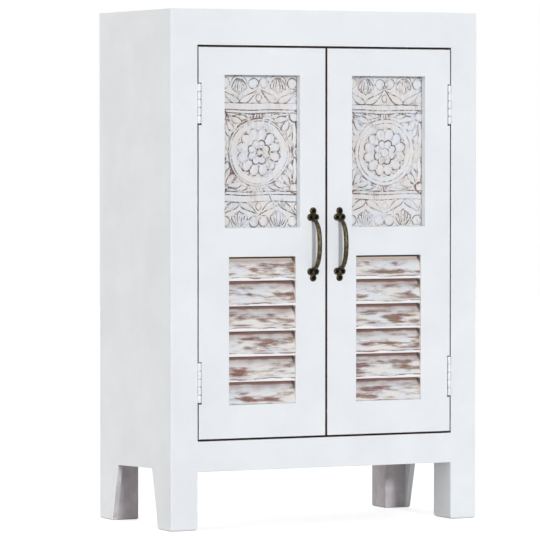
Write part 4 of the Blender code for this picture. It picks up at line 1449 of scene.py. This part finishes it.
def drilled(name, form, radius, places, finish):
    """A plate with a countersunk hole at each place."""
    plate = shaped(name, form, (finish,))
    fitted(plate, [countersunk(radius, facing, place) for place, facing in places], "DIFFERENCE")
    return plate


def leaf_screw_places(side, level, leaf):
    """Three staggered screws in a leaf, on the face that shows when the door is open."""
    low, high = leaf_plate(side, level, leaf)
    way = SIDES[side] * (1 if leaf == "door_leaf" else -1)
    x = high.x if way > 0 else low.x
    places = []
    for number in range(3):
        stagger = LEAF_SCREW_STAGGER * (1 if number % 2 else -1)
        z = low.z + (high.z - low.z) * (2 * number + 1) / 6
        places.append(((x, (low.y + high.y) / 2 + stagger, z), (way, 0, 0)))
    return places


def make_leaf(side, level, leaf, body):
    """A leaf: its drilled plate, and its knuckles, each on a tab. The frame's leaf keeps the pin."""
    name = f"{side}_{level}_hinge"
    low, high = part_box(f"{name}_{leaf}")
    plate_low, plate_high = leaf_plate(side, level, leaf)
    form = block((plate_low, plate_high))
    bmesh.ops.bevel(form, geom=form.edges[:], offset=LEAF_ARRIS, segments=2, affect="EDGES", profile=0.5)
    plate = drilled("plate", form, LEAF_SCREW_RADIUS, leaf_screw_places(side, level, leaf), "painted_steel")
    forms = [bmesh.new()]
    forms[0].from_mesh(plate.data)
    bpy.data.objects.remove(plate)
    axis = hinge_axis(side)
    spans = knuckle_spans(low.z, high.z, OWNED_KNUCKLES[leaf])
    forms += barrel(axis.x, spans)
    for start, end in spans:
        forms.append(block((Vector((plate_low.x, FRONT, start)),
                            Vector((plate_high.x, plate_low.y + MM / 2, end)))))
    nodes = [f"{name}_{leaf}"]
    if leaf == "frame_leaf":
        start, end = (corner.z for corner in around(f"{name}_pin"))
        tip = PIN_RADIUS - PIN_PROUD / 2
        profile = [(tip / 2, start), (tip, start + PIN_PROUD / 2), (tip, end - PIN_PROUD / 2), (tip / 2, end)]
        forms.append(turned(profile, (axis.x, FRONT, 0), 20))
        nodes.append(f"{name}_pin")
    made = shaped(f"{name}_{leaf}_painted", joined(forms), ("painted_steel",))
    return worn_by(made, body, "painted_steel", *nodes)


def make_hinges(side):
    """The two butt hinges of a door, with their screws."""
    for leaf, body in (("frame_leaf", "case"), ("door_leaf", f"{side}_door")):
        places = []
        for level in HINGE_LEVELS:
            make_leaf(side, level, leaf, body)
            places += leaf_screw_places(side, level, leaf)
        make_screws(f"{side}_{leaf}_screws", places, LEAF_SCREW_RADIUS, "painted_steel", body,
                    "painted_steel", flat=True)


def rounded_plate(box, radius):
    """A plate facing back along Y, with round corners."""
    low, high = box
    outline = []
    for way_x, way_z in ((1, 1), (-1, 1), (-1, -1), (1, -1)):
        centre_x = high.x - radius if way_x > 0 else low.x + radius
        centre_z = high.z - radius if way_z > 0 else low.z + radius
        start = math.atan2(way_z, way_x) - math.pi / 4
        for step in range(7):
            turn = start + math.pi / 2 * step / 6
            outline.append((centre_x + radius * math.cos(turn), low.y, centre_z + radius * math.sin(turn)))
    return pushed(outline, (0, high.y - low.y, 0))


def make_strike(side):
    """The steel plate on a door's back that the catch takes hold of, with its screw."""
    name = f"door_{side}_strike_plate"
    low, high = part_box(name)
    middle = (low + high) / 2
    places = [((middle.x, high.y, middle.z), (0, 1, 0))]
    plate = drilled(f"{name}_drilled", rounded_plate((low, high), STRIKE_ROUND), LEAF_SCREW_RADIUS, places,
                    "bare_steel")
    plate.data.shade_flat()
    worn_by(plate, f"{side}_door", "bare_steel", name)
    make_screws(f"door_{side}_strike_screw", places, LEAF_SCREW_RADIUS, "bare_steel", f"{side}_door",
                "bare_steel", flat=True)


def make_catch():
    """The double magnetic catch: a moulded body, two steel poles for each door, and two screws below."""
    low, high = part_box("magnetic_catch")
    half = (high.x - low.x) / 2
    body = block((Vector((low.x, low.y + MM / 2, low.z)), high))
    bmesh.ops.bevel(body, geom=body.edges[:], offset=CATCH_ROUND, segments=3, affect="EDGES", profile=0.5)
    screws = [((way * (half - CATCH_SCREW_INSET), high.y - CATCH_SCREW_FORWARD, low.z), (0, 0, -1))
              for way in (-1, 1)]
    housing = drilled("magnetic_catch_housing", body, LEAF_SCREW_RADIUS, screws, "catch_plastic")
    poles = []
    middle_z = (low.z + high.z) / 2
    for side in SIDES:
        strike_low, strike_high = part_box(f"door_{side}_strike_plate")
        middle_x = (strike_low.x + strike_high.x) / 2
        for way in (-1, 1):
            middle = Vector((middle_x, low.y + POLE_DEPTH / 2, middle_z + way * POLE_OFF_MIDDLE))
            half_pole = Vector((POLE_REACH, POLE_DEPTH, POLE_THICK)) / 2
            poles.append(block((middle - half_pole, middle + half_pole)))
    worn_by(housing, "case", "catch_plastic", "magnetic_catch")
    bars = shaped("magnetic_catch_poles", joined(poles), ("bare_steel",), smooth=False)
    worn_by(bars, "case", "bare_steel")
    make_screws("magnetic_catch_screws", screws, LEAF_SCREW_RADIUS, "bare_steel", "case", "bare_steel",
                flat=True)


def refinish(finish, *nodes):
    """Gives a frame node that keeps its shape its finish."""
    for node in nodes:
        mesh = frame["nodes"][node].data
        mesh.materials.clear()
        mesh.materials.append(FINISHES[finish])


def make_floor():
    """A pale floor that shows white away from the cabinet and keeps its shadow."""
    form = bmesh.new()
    bmesh.ops.create_grid(form, x_segments=2, y_segments=2, size=FLOOR_HALF)
    floor = shaped("floor", form, smooth=False)
    finish = Finish("pale_floor", shade(226, 226, 226), 0.9)
    finish.shader.inputs["Specular IOR Level"].default_value = 0.0
    rays = finish.add("LightPath").outputs
    seen = finish.sum("MAXIMUM", rays["Is Camera Ray"], finish.sum("MAXIMUM", rays["Is Glossy Ray"],
                                                                   rays["Is Transmission Ray"]))
    finish.feed(finish.shader.inputs["Emission Color"], (1, 1, 1, 1))
    finish.feed(finish.shader.inputs["Emission Strength"], finish.sum("MULTIPLY", seen, 0.64))
    floor.data.materials.append(finish.material)


def make_world():
    """An even white surround, brighter overhead, which is seen as plain white."""
    world = bpy.data.worlds.new("studio")
    bpy.context.scene.world = world
    world.use_nodes = True
    tree = world.node_tree
    nodes, links = tree.nodes, tree.links
    background = nodes["Background"]
    rays = nodes.new("ShaderNodeLightPath").outputs
    place = nodes.new("ShaderNodeTexCoord").outputs["Generated"]
    height = nodes.new("ShaderNodeSeparateXYZ")
    links.new(place, height.inputs[0])
    level = nodes.new("ShaderNodeMapRange")
    links.new(height.outputs["Z"], level.inputs["Value"])
    for name, value in (("From Min", -0.1), ("From Max", 0.9), ("To Min", 0.26), ("To Max", 0.37)):
        level.inputs[name].default_value = value
    seen = rays["Is Camera Ray"]
    for other in ("Is Glossy Ray", "Is Transmission Ray"):
        larger = nodes.new("ShaderNodeMath")
        larger.operation = "MAXIMUM"
        links.new(seen, larger.inputs[0])
        links.new(rays[other], larger.inputs[1])
        seen = larger.outputs[0]
    strength = nodes.new("ShaderNodeMix")
    links.new(seen, strength.inputs[0])
    links.new(level.outputs["Result"], strength.inputs[2])
    strength.inputs[3].default_value = 1.0
    links.new(strength.outputs[0], background.inputs["Strength"])
    tint = nodes.new("ShaderNodeMix")
    tint.data_type = "RGBA"
    links.new(seen, tint.inputs[0])
    tint.inputs[6].default_value = AMBIENT_TINT
    tint.inputs[7].default_value = (1, 1, 1, 1)
    links.new(tint.outputs[2], background.inputs["Color"])


def add_lamp(name, azimuth, elevation, strength, softness, colour=(1, 1, 1)):
    """A soft lamp far off. Azimuth 0 shines on the front, and 90 comes from the right."""
    lamp = bpy.data.lights.new(name, "SUN")
    lamp.energy = strength * math.pi
    lamp.angle = math.radians(softness)
    lamp.color = colour
    made = bpy.data.objects.new(name, lamp)
    bpy.context.scene.collection.objects.link(made)
    made.rotation_euler = (math.radians(90 - elevation), 0, math.radians(azimuth))
    return made


def make_camera():
    """A long lens from the front left, a little below the middle of the doors' height."""
    camera = bpy.data.cameras.new("camera")
    camera.lens = CAMERA_LENS
    camera.sensor_width = 36
    camera.clip_end = 60
    made = bpy.data.objects.new("camera", camera)
    bpy.context.scene.collection.objects.link(made)
    made.location = CAMERA_PLACE
    made.rotation_euler = (CAMERA_TILT, 0, CAMERA_TURN)
    bpy.context.scene.camera = made


def main():
    make_camera()
    make_world()
    add_lamp("key", -5, 12.5, 0.545, 6, (0.985, 1.0, 1.01))
    add_lamp("left_fill", -88, 14, 0.485, 60, (1.0, 0.98, 0.94))
    add_lamp("back_fill", 145, 25, 0.36, 60)
    make_floor()
    bpy.context.scene.view_settings.view_transform = "Standard"

    make_case()
    growth = louvre_growth()
    for seed, side in enumerate(SIDES, start=5):
        make_door(side)
        make_carving(side, seed)
        make_louvres(side, growth)
        make_handle(side)
        make_hinges(side)
        make_strike(side)
    make_catch()
    refinish("inside_paint", "bottom_panel", "back_panel", "shelf", "shelf_cleat_left", "shelf_cleat_right")


main()
